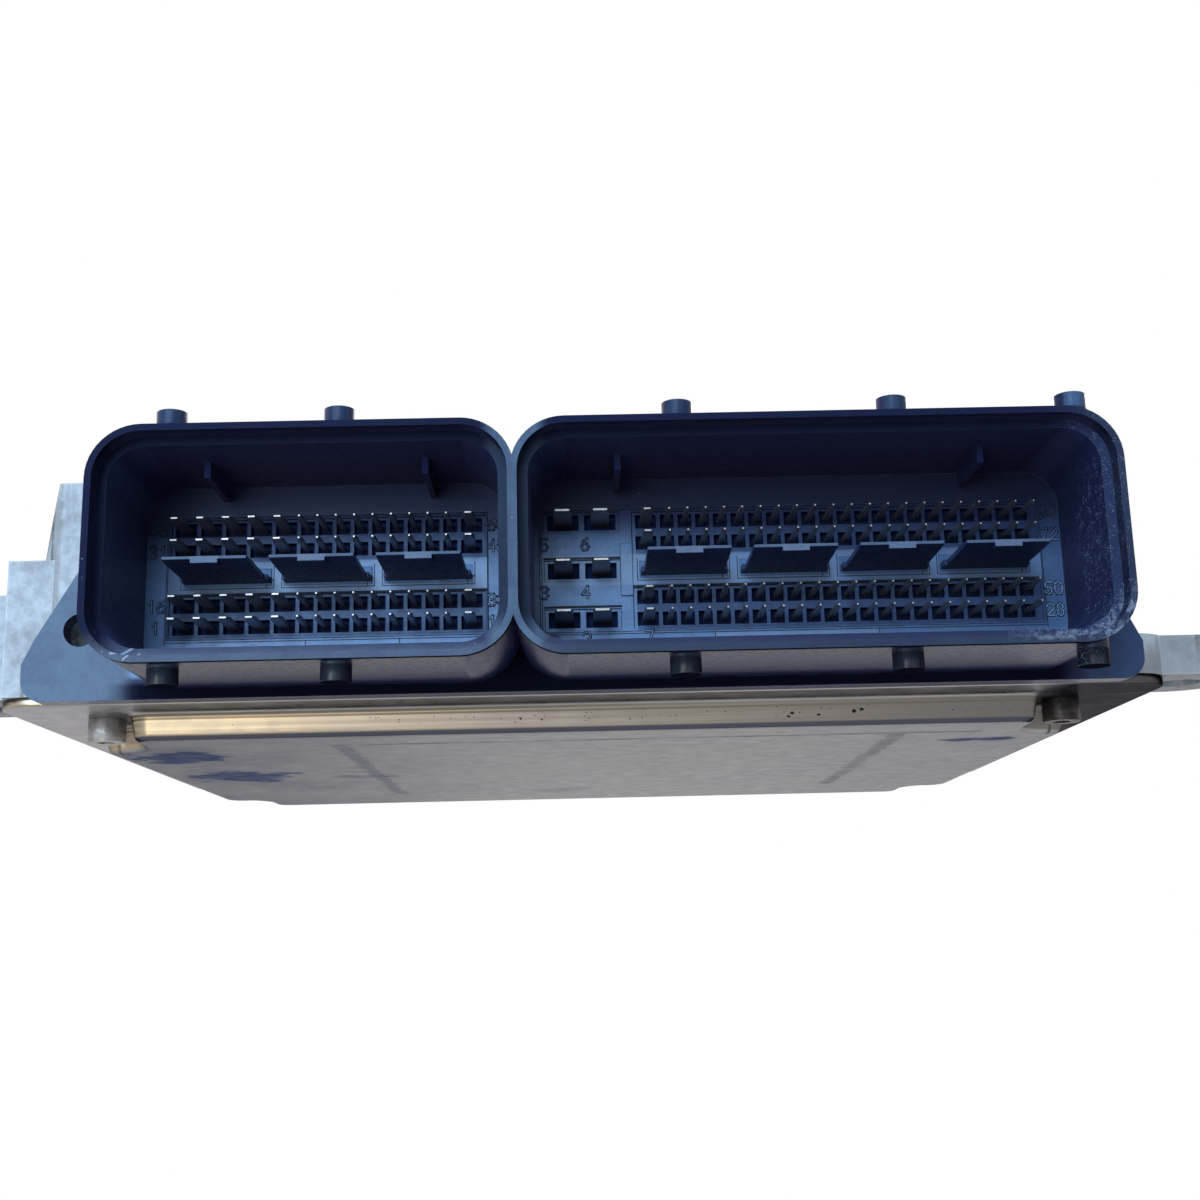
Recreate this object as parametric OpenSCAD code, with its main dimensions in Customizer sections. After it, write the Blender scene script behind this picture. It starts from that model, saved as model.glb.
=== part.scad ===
// Engine control unit: a die-cast housing with a pressed sheet cover and a two-socket plug header.
// It lies on its cover with the sockets toward -Y. The flat of the cover is at z = 0.

/* [Pins] */
// Pitch of the signal pins along a row
signal_pitch = 2.5; // [2.4:0.1:2.7]
// Pitch of the power pins along a row
power_pitch = 3.5; // [3.3:0.1:3.8]
// Pitch of the two columns of supply blades
supply_pitch = 5.2; // [5:0.1:5.4]
// Step between the two rows of one bank
row_step = 3.1; // [2.9:0.1:3.3]
// Rise from the lower bank of rows to the upper bank
bank_rise = 10.9; // [10.4:0.1:11.4]
// Side of a signal pin, and thickness of a power pin
signal_t = 0.63; // [0.5:0.01:0.7]
// Width of a power pin
power_w = 1.5; // [1.2:0.1:1.7]
// Width of a supply blade
supply_w = 2.5; // [2.2:0.1:2.8]
// Thickness of a supply blade
supply_t = 0.8; // [0.6:0.05:0.9]
// How far the pins stand out of the pin carrier
pin_reach = 6.5; // [5:0.1:8]
// Wall between two neighbouring pits
pit_rib = 0.6; // [0.5:0.05:0.8]
// Depth of the pits round the pins
pit_depth = 1.6; // [1:0.1:2]
// Depth of the shallow panels round the pits
panel_depth = 0.3; // [0.2:0.05:0.5]

/* [Sockets] */
// Depth of a socket, from its rim to the pin carrier
socket_depth = 21.5; // [20:0.5:24]
// Height inside a socket
socket_h = 26.6; // [25.6:0.1:27.6]
// Wall of a socket
socket_wall = 2.2; // [2:0.1:2.6]
// Thickness of the lip at the rim
lip_t = 0.9; // [0.7:0.1:1.2]
// Depth of the step behind the lip
lip_depth = 2.5; // [1.5:0.1:3.5]
// Outer corner radius of a socket
socket_r = 7; // [6:0.1:8]
// How far the two sockets run into each other at the divider
divider_merge = 0.55; // [0.25:0.05:1]
// Shift of the pair of sockets from the middle of the unit
socket_shift = 3.25; // [2.5:0.25:4]
// Width of a guide blade
guide_w = 11.1; // [10.5:0.1:11.4]
// Thickness of a guide blade
guide_t = 0.8; // [0.6:0.1:1.1]
// How far the guide blades stand out of the pin carrier
guide_reach = 13.5; // [11:0.5:15]
// Diameter of the cam pegs on the sockets
peg_d = 4; // [3.4:0.1:4.4]
// Height of the cam pegs
peg_h = 2.5; // [2:0.1:3]

/* [Header] */
// Space between the sockets and the end of the flange
flange_margin = 7.25; // [6.5:0.25:8]
// Thickness of the header's flange
flange_t = 3; // [2.4:0.1:3.6]
// Locating hole in the flange
flange_hole_d = 4.6; // [4:0.1:5]

/* [Housing] */
// Length from the pin carrier to the rear edge
body_l = 121; // [115:1:128]
// How far the housing's rim stands out past the flange
rim_margin = 5.75; // [5:0.25:6.5]
// Thickness of the rim and of the plain ears
rim_t = 5.6; // [5:0.1:6.4]
// Height of the front section's top over the flat of the cover
housing_top = 36; // [35.5:0.25:37]
// Height of the finned rear deck over the flat of the cover
deck_top = 24; // [23:0.5:26]
// Length of the tall front section
front_l = 48; // [44:1:52]
// Wall of the casting
cast_wall = 3; // [2.6:0.1:3.4]
// Lean of the side walls, per millimetre of height
cast_draft = 0.15; // [0.1:0.01:0.18]
// Number of cooling fins
fin_count = 15; // [9:1:17]
// Height of the cooling fins
fin_h = 8; // [5:0.5:10]
// Bolt hole of an ear
ear_hole_d = 6.6; // [5.4:0.1:7]
// Outer radius of an ear
ear_r = 8; // [7:0.25:9]

/* [Cover] */
// Thickness of the cover's sheet
sheet_t = 1.3; // [1:0.1:1.6]
// Drop from the cover's flange to its flat
cover_drop = 4.1; // [3.5:0.1:4.6]
// Radius of the notch round a corner screw
notch_r = 4.75; // [4.25:0.25:5.5]
// Corner radius of the cover's flat
flat_r = 3.6; // [3:0.1:4.5]

/* [Board] */
// Thickness of the circuit board
board_t = 1.6; // [1.4:0.1:2]
// Height of the boost capacitors
can_h = 18; // [12:1:20]

/* [Hidden] */
$fn = 48;
// Clearance of moulded pieces that slide together
fit = 0.05;
// Clearance of pieces that only pass each other
gap = 0.2;
// Overshoot of a cut
eps = 0.5;

signal_cols_60 = 9;
power_cols_60 = 5;
signal_cols_94 = 21;
supply_rows = 3;
rows = 4;
mixed_pitch = (signal_pitch + power_pitch) / 2;
supply_clear = 4.45;
supply_gap = supply_w / 2 + power_w / 2 + supply_clear;
row_span = bank_rise + row_step;

// Pits round the pins, and the panels round the pits
row_pit_h = row_step - 2 * pit_rib;
supply_rib = 0.85;
signal_pit = [signal_pitch - pit_rib, row_pit_h];
power_pit = [power_pitch - pit_rib, row_pit_h];
supply_pit = [supply_pitch - supply_rib, supply_t + 1.4];
panel_margin = [0.55, 0.4];
panel_rib = 0.3;

// Where things stand along Y
ear_out = 3.5;
total_l = socket_depth + body_l + ear_out + ear_r;
rim_y = -total_l / 2;
plate_y = rim_y + socket_depth;
rear_y = plate_y + body_l;
flange_front_y = plate_y - 2;
flange_back_y = flange_front_y + flange_t;
collar_l = 6;
collar_y = flange_back_y + collar_l;
floor_t = 3;

// Where things stand along X
field_60 = (power_cols_60 - 1) * power_pitch + 2 * mixed_pitch + (signal_cols_60 - 1) * signal_pitch;
field_94 = supply_pitch + supply_gap + mixed_pitch + (signal_cols_94 - 1) * signal_pitch;
end_margin = 5.3;
divider_margin_60 = 4.8;
divider_margin_94 = 4.2;
socket_w_60 = field_60 + end_margin + divider_margin_60 + 2 * socket_wall;
socket_w_94 = field_94 + end_margin + divider_margin_94 + 2 * socket_wall;
pair_w = socket_w_60 + socket_w_94 - divider_merge;
flange_w = pair_w + 2 * (socket_shift + flange_margin);
rim_w = flange_w + 2 * rim_margin;
socket_x_60 = socket_shift - pair_w / 2 + socket_w_60 / 2;
socket_x_94 = socket_shift + pair_w / 2 - socket_w_94 / 2;
first_x_60 = socket_x_60 - socket_w_60 / 2 + socket_wall + end_margin;
first_x_94 = socket_x_94 - socket_w_94 / 2 + socket_wall + divider_margin_94;
field_x_60 = first_x_60 + field_60 / 2;
field_x_94 = first_x_94 + field_94 / 2;

// Where things stand along Z
cast_z = cover_drop + sheet_t;
flange_lift = 0.1;
flange_z = cover_drop + flange_lift;
socket_lift = 1.5;
socket_outer_h = socket_h + 2 * socket_wall;
socket_z = flange_z + socket_lift + socket_outer_h / 2;
socket_proud = 2;
flange_top = socket_z + socket_outer_h / 2 - socket_proud;
field_lift = 0.2;
field_z = socket_z + field_lift;
board_lift = 2.1;
board_z = cast_z + board_lift;
board_top = board_z + board_t;

// Columns of the two sockets
power_x_60 = concat(
    [for (i = [0 : power_cols_60 - 1]) first_x_60 + i * power_pitch],
    [first_x_60 + field_60]);
signal_x_60 = [for (i = [0 : signal_cols_60 - 1])
    first_x_60 + (power_cols_60 - 1) * power_pitch + mixed_pitch + i * signal_pitch];
supply_x_94 = [for (i = [0, 1]) first_x_94 + i * supply_pitch];
sense_x_94 = [first_x_94 + supply_pitch + supply_gap];
signal_x_94 = [for (i = [0 : signal_cols_94 - 1]) sense_x_94[0] + mixed_pitch + i * signal_pitch];

// Carriers, let into windows of the header's floor
carrier_margin = 2.3;
carrier_margin_z = 1.75;
carrier_h = row_span + 2 * carrier_margin_z;
carrier_w_60 = field_60 + 2 * carrier_margin;
supply_extra = max(0, supply_pit[0] / 2 + panel_margin[0] + panel_rib - carrier_margin);
carrier_w_94 = field_94 + 2 * carrier_margin + supply_extra;
carrier_x_94 = field_x_94 - supply_extra / 2;
carrier_step = 1;
carrier_back_t = 1.5;
carrier_l = floor_t + carrier_back_t;
collar_wall = 1;
collar_h = carrier_h + 2 * (carrier_step + collar_wall);
carriers_left = field_x_60 - carrier_w_60 / 2;
carriers_right = carrier_x_94 + carrier_w_94 / 2;
collar_w = carriers_right - carriers_left + 2 * (carrier_step + collar_wall);
collar_x = (carriers_left + carriers_right) / 2;

// Guide blades
guide_gap = 2.9;
guide_pitch = guide_w + guide_gap;
guide_count_60 = 3;
guide_count_94 = 4;
guide_x_60 = [for (i = [0 : guide_count_60 - 1]) field_x_60 + (i - (guide_count_60 - 1) / 2) * guide_pitch];
guide_mid_94 = (sense_x_94[0] + signal_x_94[signal_cols_94 - 1]) / 2 - 0.4;
guide_x_94 = [for (i = [0 : guide_count_94 - 1]) guide_mid_94 + (i - (guide_count_94 - 1) / 2) * guide_pitch];
guide_drop = 0.45;
guide_z = field_z - guide_drop;
guide_edge_t = guide_t / 2;
guide_nose_l = 3;
guide_root_w = guide_w + 0.9;
guide_root_l = 2.2;
guide_foot_w = guide_w + 1.2;
guide_foot_h = 2.4;
guide_foot_t = 2;
guide_tab_w = 3.6;
guide_tab_l = 1.6;
guide_tab_drop = 0.7;

// Cam pegs, measured from the ends of the pair of sockets
peg_inset = peg_h + 2.7;
peg_x = [
    socket_x_60 - socket_w_60 / 2 + 10,
    socket_x_60 + 4.5,
    socket_x_94 - 17.5,
    socket_x_94 + 10.6,
    socket_x_94 + socket_w_94 / 2 - peg_inset
];
peg_y = rim_y + 3.5;

// Ceiling ribs in the sockets
ceiling_rib_t = 0.8;
ceiling_rib_h = 2.2;
ceiling_rib_l = 12;
ceiling_rib_x = [socket_x_60 - 14, socket_x_60 + 15, socket_x_94 - 25.3, socket_x_94 + 23.4];

// Casting
front_wall = 4;
cast_half = rim_w / 2 - 4;
cast_r = 6;
ceiling_z = housing_top - cast_wall;
deck_ceiling_z = deck_top - cast_wall;
cavity_y = flange_back_y + front_wall;
cavity_end_y = rear_y - 6;
front_end_y = flange_back_y + front_l;
rear_setback = 4;
ear_x = rim_w / 2 + ear_out;
ear_y = flange_back_y + ear_r + 2;
rear_ear_inset = 24.5;
rear_ear_x = rim_w / 2 - rear_ear_inset;
rear_ear_y = rear_y + ear_out;
ear_places = [[-ear_x, ear_y], [ear_x, ear_y], [-rear_ear_x, rear_ear_y], [rear_ear_x, rear_ear_y]];
tall_ear_z = 20.3;
shoulder_z = 24.8;
shoulder_out = 2;
shoulder_w = 8;

// Cover and its screws
cover_w = rim_w - 1;
cover_front_y = flange_back_y + gap;
flat_half = rim_w / 2 - 9.5;
flat_front_y = flange_back_y + 7;
flat_rear_y = rear_y - 6;
step_lean = 0.8;
screw_x = flat_half - 2.75;
screw_y = [flat_front_y + 8, flat_rear_y - 8];
screw_d = 3.4;
screw_l = 12;
screw_head_d = 5.4;
screw_head_h = 3.3;
cast_post_r = 5.5;
seal_w = 1.8;
seal_h = 1.2;

// Board, held to posts of the casting
board_front_y = collar_y + 1;
board_rear_y = cavity_end_y - 1.5;
board_half = cast_half - cast_wall - 3;
board_post_r = 4;
board_screw_d = 2.6;
board_screw_head_d = 5.6;
board_screw_head_h = 1.8;
board_screw_l = 7;
board_post_x = board_half - 6;
front_post_setback = 8;
rear_post_setback = 24;
board_post_y = [front_end_y - front_post_setback, board_rear_y - rear_post_setback];
lead_pitch = 3;
lead_y = [for (r = [0 : rows - 1]) board_front_y + 2 + r * lead_pitch];
lead_end = 1;

// Parts on the board
ic_h = 2.2;
pad_t = 1;
chip_gap = 8;
chip_space = 2;
mcu_size = [24, 24, 1.8];
flash_size = [12, 16, 1.4];
supply_size = [14, 14, ic_h];
driver_size = [14, 14, ic_h];
transceiver_size = [5, 6, 1.6];
fet_size = [6.6, 6.2, 2.3];
inductor_size = [12, 12, 8];
crystal_size = [8, 4, 2];
sensor_size = [8, 7, 3.5];
ceramic_size = [1.6, 3.2, 1.4];
pad_margin = 1;
driver_pad = [driver_size[0] + 2 * pad_margin, driver_size[1] + 2 * pad_margin];
driver_pitch = 26;
driver_side = floor((board_post_x - board_post_r - driver_pad[0] / 2) / driver_pitch);
driver_x = [for (i = [-driver_side : driver_side]) i * driver_pitch];
driver_y = board_rear_y - driver_pad[1];
ceramic_pitch = 4.5;
ceramic_y = driver_y - driver_size[1] / 2 - chip_space - ceramic_size[1] / 2;
chip_y = ceramic_y - ceramic_size[1] / 2 - chip_space - mcu_size[1] / 2;
flash_x = mcu_size[0] / 2 + chip_gap + flash_size[0] / 2;
supply_x = -mcu_size[0] / 2 - chip_gap - supply_size[0] / 2;
inductor_inset = 20;
inductor_x = -board_half + inductor_inset;
transceiver_pitch = 8;
transceiver_inset = 18;
transceiver_x = [for (i = [0, 1]) board_half - transceiver_inset - i * transceiver_pitch];
sensor_inset = 32.5;
sensor_x = board_half - sensor_inset;
sensor_y = chip_y - mcu_size[1] / 2 - chip_space;
crystal_y = chip_y - mcu_size[1] / 2 - chip_space - crystal_size[1] / 2;
field_rear_y = lead_y[rows - 1] + lead_pitch;
can_d = 12.5;
can_pitch = 14;
can_count = 3;
can_inset = 14.5;
can_x = [for (i = [0 : can_count - 1]) -board_half + can_inset + i * can_pitch];
can_y = field_rear_y + chip_space + can_d / 2;
fet_pitch = 9;
fet_inset = 16.5;
fet_span = 2 * board_half - fet_inset - can_inset - (can_count - 1) * can_pitch - can_d / 2 - chip_space
    - fet_size[0] / 2;
fet_x = [for (i = [0 : floor(fet_span / fet_pitch)]) board_half - fet_inset - i * fet_pitch];
fet_y = field_rear_y + fet_size[1] / 2 + 1;
vent_d = 14;
vent_h = 2;
vent_hole_d = 6;
vent_x = -40;
vent_setback = 30;
vent_y = flange_back_y + vent_setback;

// Height of a pin row, counted from the lowest
function row_z(r) = field_z - row_span / 2 + (r % 2) * row_step + floor(r / 2) * bank_rise;

// Height of a supply row, counted from the lowest
function supply_z(r) = field_z - row_span / 2 + r * row_span / (supply_rows - 1);

// Rectangle with rounded corners, centred
module rounded(size, r) {
    square([size[0] - 2 * r, size[1]], center = true);
    square([size[0], size[1] - 2 * r], center = true);
    for (i = [-1, 1], j = [-1, 1])
        translate([i * (size[0] / 2 - r), j * (size[1] / 2 - r)])
            circle(r);
}

// Rectangle between two corners
module box2(x0, y0, x1, y1) {
    translate([x0, y0])
        square([x1 - x0, y1 - y0]);
}

// Stands an X-Z outline up from y0 to y1
module along_y(y0, y1) {
    translate([0, y1, 0])
        rotate([90, 0, 0])
            linear_extrude(y1 - y0)
                children();
}

// Extrudes a Y-Z outline over a width centred on x
module along_x(x, width) {
    translate([x - width / 2, 0, 0])
        rotate([90, 0, 90])
            linear_extrude(width)
                children();
}

// Rises a plan outline from z0 to z1
module along_z(z0, z1) {
    translate([0, 0, z0])
        linear_extrude(z1 - z0)
            children();
}

// Outline of the pair of sockets, shrunk by an inset
module socket_pair(inset) {
    for (s = [[socket_x_60, socket_w_60], [socket_x_94, socket_w_94]])
        translate([s[0], socket_z])
            rounded([s[1] - 2 * inset, socket_outer_h - 2 * inset], socket_r - inset);
}

// Flange of the header, with leaning upper sides and round lower corners
module flange_outline() {
    half = flange_w / 2;
    lean = 0.59;
    low_r = 3;
    side_top = flange_z + 5.2;
    knee = [half - 1.6, side_top + 3.4];
    top_x = knee[0] - (flange_top - knee[1]) * lean;
    polygon([
        [-half + low_r, flange_z], [half - low_r, flange_z], [half, flange_z + low_r], [half, side_top],
        knee, [top_x, flange_top], [-top_x, flange_top], [-knee[0], knee[1]], [-half, side_top],
        [-half, flange_z + low_r]
    ]);
    for (i = [-1, 1])
        translate([i * (half - low_r), flange_z + low_r])
            circle(low_r);
}

// Locating hole, from y0 to y1
module locating_hole(y0, y1) {
    translate([-flange_w / 2 + 7.8, y1, flange_z + 9.8])
        rotate([90, 0, 0])
            cylinder(d = flange_hole_d, h = y1 - y0);
}

// Outline of the header's collar behind the flange
module collar_outline(grow) {
    translate([collar_x, field_z])
        rounded([collar_w + 2 * grow, collar_h + 2 * grow], 2 + grow);
}

// Windows of the two pin carriers
module carrier_windows(grow) {
    for (c = [[field_x_60, carrier_w_60], [carrier_x_94, carrier_w_94]])
        translate([c[0], field_z])
            square([c[1] + 2 * grow, carrier_h + 2 * grow], center = true);
}

module connector_header() {
    color("#16181c")
    difference() {
        union() {
            along_y(flange_front_y, flange_back_y)
                flange_outline();
            along_y(rim_y, flange_back_y)
                socket_pair(0);
            along_y(flange_back_y - eps, collar_y)
                collar_outline(0);
            for (x = peg_x)
                translate([x, peg_y, socket_z - socket_outer_h / 2 - peg_h])
                    cylinder(d = peg_d, h = socket_outer_h + 2 * peg_h);
        }
        difference() {
            along_y(rim_y - eps, plate_y)
                socket_pair(socket_wall);
            for (x = ceiling_rib_x)
                along_x(x, ceiling_rib_t)
                    box2(plate_y - ceiling_rib_l, socket_z + socket_h / 2 - ceiling_rib_h,
                        plate_y, socket_z + socket_h / 2 + eps);
        }
        along_y(rim_y - eps, rim_y + lip_depth)
            socket_pair(lip_t);
        along_y(plate_y - eps, collar_y + eps)
            carrier_windows(fit);
        along_y(plate_y + floor_t, collar_y + eps)
            carrier_windows(carrier_step + fit);
        locating_hole(flange_front_y - eps, flange_back_y + eps);
    }
}

// Block that holds a field of pins: shallow panels and pits in front, close slots behind
module carrier(x, width, guide_x) {
    difference() {
        union() {
            along_y(plate_y, plate_y + floor_t)
                translate([x, field_z])
                    square([width, carrier_h], center = true);
            along_y(plate_y + floor_t, plate_y + carrier_l)
                translate([x, field_z])
                    square([width + 2 * carrier_step, carrier_h + 2 * carrier_step], center = true);
        }
        for (gx = guide_x)
            translate([gx - guide_foot_w / 2, plate_y - eps, field_z - guide_foot_h / 2])
                cube([guide_foot_w, guide_foot_t + eps, guide_foot_h]);
        along_y(plate_y - eps, plate_y + panel_depth)
            children(0);
        along_y(plate_y, plate_y + pit_depth)
            children(1);
        along_y(plate_y, plate_y + carrier_l + eps)
            children(2);
    }
}

// One rectangle for each column and row of a field
module cells(xs, zs, size) {
    for (x = xs, z = zs)
        translate([x, z])
            square(size, center = true);
}

// Panel round the pits between two columns and two rows
module panel(x0, x1, z0, z1, pit) {
    out = [pit[0] / 2 + panel_margin[0], pit[1] / 2 + panel_margin[1]];
    box2(x0 - out[0], z0 - out[1], x1 + out[0], z1 + out[1]);
}

row_zs = [for (r = [0 : rows - 1]) row_z(r)];
supply_zs = [for (r = [0 : supply_rows - 1]) supply_z(r)];

module pin_carrier_60() {
    color("#1b2029")
    carrier(field_x_60, carrier_w_60, guide_x_60) {
        for (r = [0, 2])
            panel(power_x_60[0], power_x_60[power_cols_60], row_z(r), row_z(r + 1), power_pit);
        union() {
            cells(signal_x_60, row_zs, signal_pit);
            cells(power_x_60, row_zs, power_pit);
        }
        union() {
            cells(signal_x_60, row_zs, [signal_t, signal_t]);
            cells(power_x_60, row_zs, [power_w, signal_t]);
        }
    }
}

// Raised rib between the supply blades and the rows of pins
module field_rib() {
    left = supply_x_94[1] + supply_pit[0] / 2 + panel_margin[0];
    right = sense_x_94[0] - power_pit[0] / 2 - panel_margin[0];
    rib_h = 7.5;
    along_y(plate_y - panel_depth, plate_y + panel_depth)
        box2(left + fit, field_z - rib_h / 2, right - fit, field_z + rib_h / 2);
}

module pin_carrier_94() {
    color("#1b2029")
    field_rib();
    color("#1b2029")
    carrier(carrier_x_94, carrier_w_94, guide_x_94) {
        union() {
            for (r = [0, 2])
                panel(sense_x_94[0], signal_x_94[signal_cols_94 - 1], row_z(r), row_z(r + 1), power_pit);
            for (z = supply_zs)
                panel(supply_x_94[0], supply_x_94[1], z, z, supply_pit);
        }
        union() {
            cells(signal_x_94, row_zs, signal_pit);
            cells(sense_x_94, row_zs, power_pit);
            cells(supply_x_94, supply_zs, supply_pit);
        }
        union() {
            cells(signal_x_94, row_zs, [signal_t, signal_t]);
            cells(sense_x_94, row_zs, [power_w, signal_t]);
            cells(supply_x_94, supply_zs, [supply_w, supply_t]);
        }
    }
}

// Blade with a rectangular foot, a wide root, a thin front edge and a tab under the middle of that edge
module guide_blade(x) {
    edge_y = plate_y - guide_reach;
    half = guide_t / 2;
    edge_half = guide_edge_t / 2;
    along_x(x, guide_foot_w)
        box2(plate_y, field_z - guide_foot_h / 2, plate_y + guide_foot_t, field_z + guide_foot_h / 2);
    along_x(x, guide_root_w)
        box2(plate_y - guide_root_l, guide_z - half, plate_y, guide_z + half);
    along_x(x, guide_w)
        polygon([
            [edge_y, guide_z - edge_half], [edge_y + guide_nose_l, guide_z - half], [plate_y, guide_z - half],
            [plate_y, guide_z + half], [edge_y + guide_nose_l, guide_z + half], [edge_y, guide_z + edge_half]
        ]);
    along_x(x, guide_tab_w)
        polygon([
            [edge_y, guide_z - guide_tab_drop], [edge_y + guide_tab_l, guide_z - guide_tab_drop],
            [edge_y + 2 * guide_tab_l, guide_z], [edge_y, guide_z]
        ]);
}

module guide_blades_60() {
    color("#14171d")
    for (x = guide_x_60)
        guide_blade(x);
}

module guide_blades_94() {
    color("#14171d")
    for (x = guide_x_94)
        guide_blade(x);
}

// Side view of a bent pin: pointed tip, straight run through the carrier, leg down through the board
module pin_side(z, thick, bend_y) {
    tip_y = plate_y - pin_reach;
    leg_z = board_z - lead_end;
    half = thick / 2;
    polygon([
        [tip_y, z - half / 3], [tip_y + 2 * thick, z - half],
        [bend_y - half, z - half], [bend_y - half, leg_z],
        [bend_y + half, leg_z], [bend_y + half, z + half],
        [tip_y + 2 * thick, z + half], [tip_y, z + half / 3]
    ]);
}

// Plan view of the same pin, narrowed at its tip
module pin_plan(width, bend_y) {
    tip_y = plate_y - pin_reach;
    half = width / 2;
    taper = min(half * 2 / 3, 0.3);
    polygon([
        [-half + taper, tip_y], [half - taper, tip_y], [half, tip_y + 2 * signal_t], [half, bend_y + 1],
        [-half, bend_y + 1], [-half, tip_y + 2 * signal_t]
    ]);
}

module bent_pin(x, z, width, thick, bend_y) {
    intersection() {
        along_x(x, width)
            pin_side(z, thick, bend_y);
        translate([x, 0, 0])
            along_z(0, housing_top)
                pin_plan(width, bend_y);
    }
}

// All pins of one kind in the four rows
module pin_field(xs, width) {
    for (x = xs, r = [0 : rows - 1])
        bent_pin(x, row_z(r), width, signal_t, lead_y[r]);
}

module signal_pins_60() {
    color("#c9b98c")
    pin_field(signal_x_60, signal_t);
}

module power_pins_60() {
    color("#c9b98c")
    pin_field(power_x_60, power_w);
}

module signal_pins_94() {
    color("#c9b98c")
    pin_field(signal_x_94, signal_t);
}

module sense_pins_94() {
    color("#c9b98c")
    pin_field(sense_x_94, power_w);
}

module supply_blades_94() {
    color("#c9b98c")
    for (x = supply_x_94, r = [0 : supply_rows - 1])
        bent_pin(x, supply_z(r), supply_w, supply_t, lead_y[r]);
}

// Plan of the casting's rim, shrunk by an inset
module rim_plan(inset) {
    translate([0, (flange_back_y + rear_y) / 2])
        rounded([rim_w - 2 * inset, rear_y - flange_back_y - 2 * inset], cast_r);
}

// Cross-section of the casting, with leaning sides
module cast_section(inset, z0, z1) {
    low = cast_half - inset;
    high = low - (z1 - z0) * cast_draft;
    polygon([[-low, z0], [low, z0], [high, z1], [-high, z1]]);
}

// Outer walls: tall front section and low rear deck
module cast_walls() {
    intersection() {
        union() {
            along_y(flange_back_y, rear_y - rear_setback)
                cast_section(0, cast_z, deck_top);
            along_y(flange_back_y, front_end_y)
                cast_section(0, cast_z, housing_top);
        }
        along_z(cast_z, housing_top)
            translate([0, (flange_back_y + rear_y - rear_setback) / 2])
                rounded([2 * cast_half, rear_y - rear_setback - flange_back_y], cast_r);
    }
}

// Room inside the casting, open toward the cover
module cast_room() {
    intersection() {
        union() {
            along_y(cavity_y, cavity_end_y)
                cast_section(cast_wall, cast_z - eps, deck_ceiling_z);
            along_y(cavity_y, front_end_y - cast_wall)
                cast_section(cast_wall, cast_z - eps, ceiling_z);
        }
        along_z(cast_z - eps, housing_top)
            translate([0, (cavity_y + cavity_end_y) / 2])
                rounded([2 * (cast_half - cast_wall), cavity_end_y - cavity_y], cast_r - 2);
    }
}

// Groove and bead between the casting's rim and the cover
module cover_bead() {
    along_z(cast_z, cast_z + seal_h)
        difference() {
            translate([0, (cavity_y + cavity_end_y) / 2])
                rounded([2 * (cast_half + seal_w / 2), cavity_end_y - cavity_y + 2 * (seal_w + 1)], cast_r);
            translate([0, (cavity_y + cavity_end_y) / 2])
                rounded([2 * (cast_half - seal_w / 2), cavity_end_y - cavity_y + 2], cast_r - seal_w);
        }
}

// Groove and bead between the header's flange and the casting
module header_bead() {
    along_y(flange_back_y, flange_back_y + seal_h)
        difference() {
            collar_outline(gap + 1 + seal_w);
            collar_outline(gap + 1);
        }
}

// Mounting ear at one side of the casting, beside the header
module side_ear(side, top_z) {
    along_z(cast_z, top_z) {
        translate([side * ear_x, ear_y])
            circle(ear_r);
        translate([side * (ear_x + cast_half) / 2, ear_y])
            square([ear_x - cast_half, 2 * ear_r], center = true);
    }
}

// Mounting ear at the rear edge of the casting
module rear_ear(x) {
    along_z(cast_z, cast_z + rim_t) {
        translate([x, rear_ear_y])
            circle(ear_r);
        box2(x - ear_r, rear_y - rear_setback, x + ear_r, rear_ear_y);
    }
}

// Cooling fins on the rear deck
module fins() {
    span = 2 * (cast_half - (deck_top - cast_z) * cast_draft - cast_r);
    pitch = span / (fin_count - 1);
    root = min(1.4, pitch / 4);
    for (i = [0 : fin_count - 1])
        translate([-span / 2 + i * pitch, 0, 0])
            along_y(front_end_y - eps, rear_y - rear_setback - cast_r)
                polygon([
                    [-root, deck_top - eps], [root, deck_top - eps],
                    [root * 0.6, deck_top + fin_h], [-root * 0.6, deck_top + fin_h]
                ]);
}

// Posts for the cover screws and the board screws, and the pads over the drivers
module inner_posts() {
    for (i = [-1, 1], y = screw_y)
        along_z(cast_z, deck_ceiling_z + eps)
            translate([i * screw_x, y]) {
                circle(cast_post_r);
                translate([i * cast_post_r / 2, 0])
                    square([cast_post_r, 2 * cast_post_r], center = true);
            }
    for (i = [-1, 1], y = board_post_y)
        along_z(board_top, (y < front_end_y ? ceiling_z : deck_ceiling_z) + eps)
            translate([i * board_post_x, y])
                circle(board_post_r);
    for (x = driver_x)
        translate([x - driver_pad[0] / 2, driver_y - driver_pad[1] / 2, board_top + ic_h + pad_t])
            cube([driver_pad[0], driver_pad[1], deck_ceiling_z - board_top - ic_h - pad_t + eps]);
}

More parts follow.
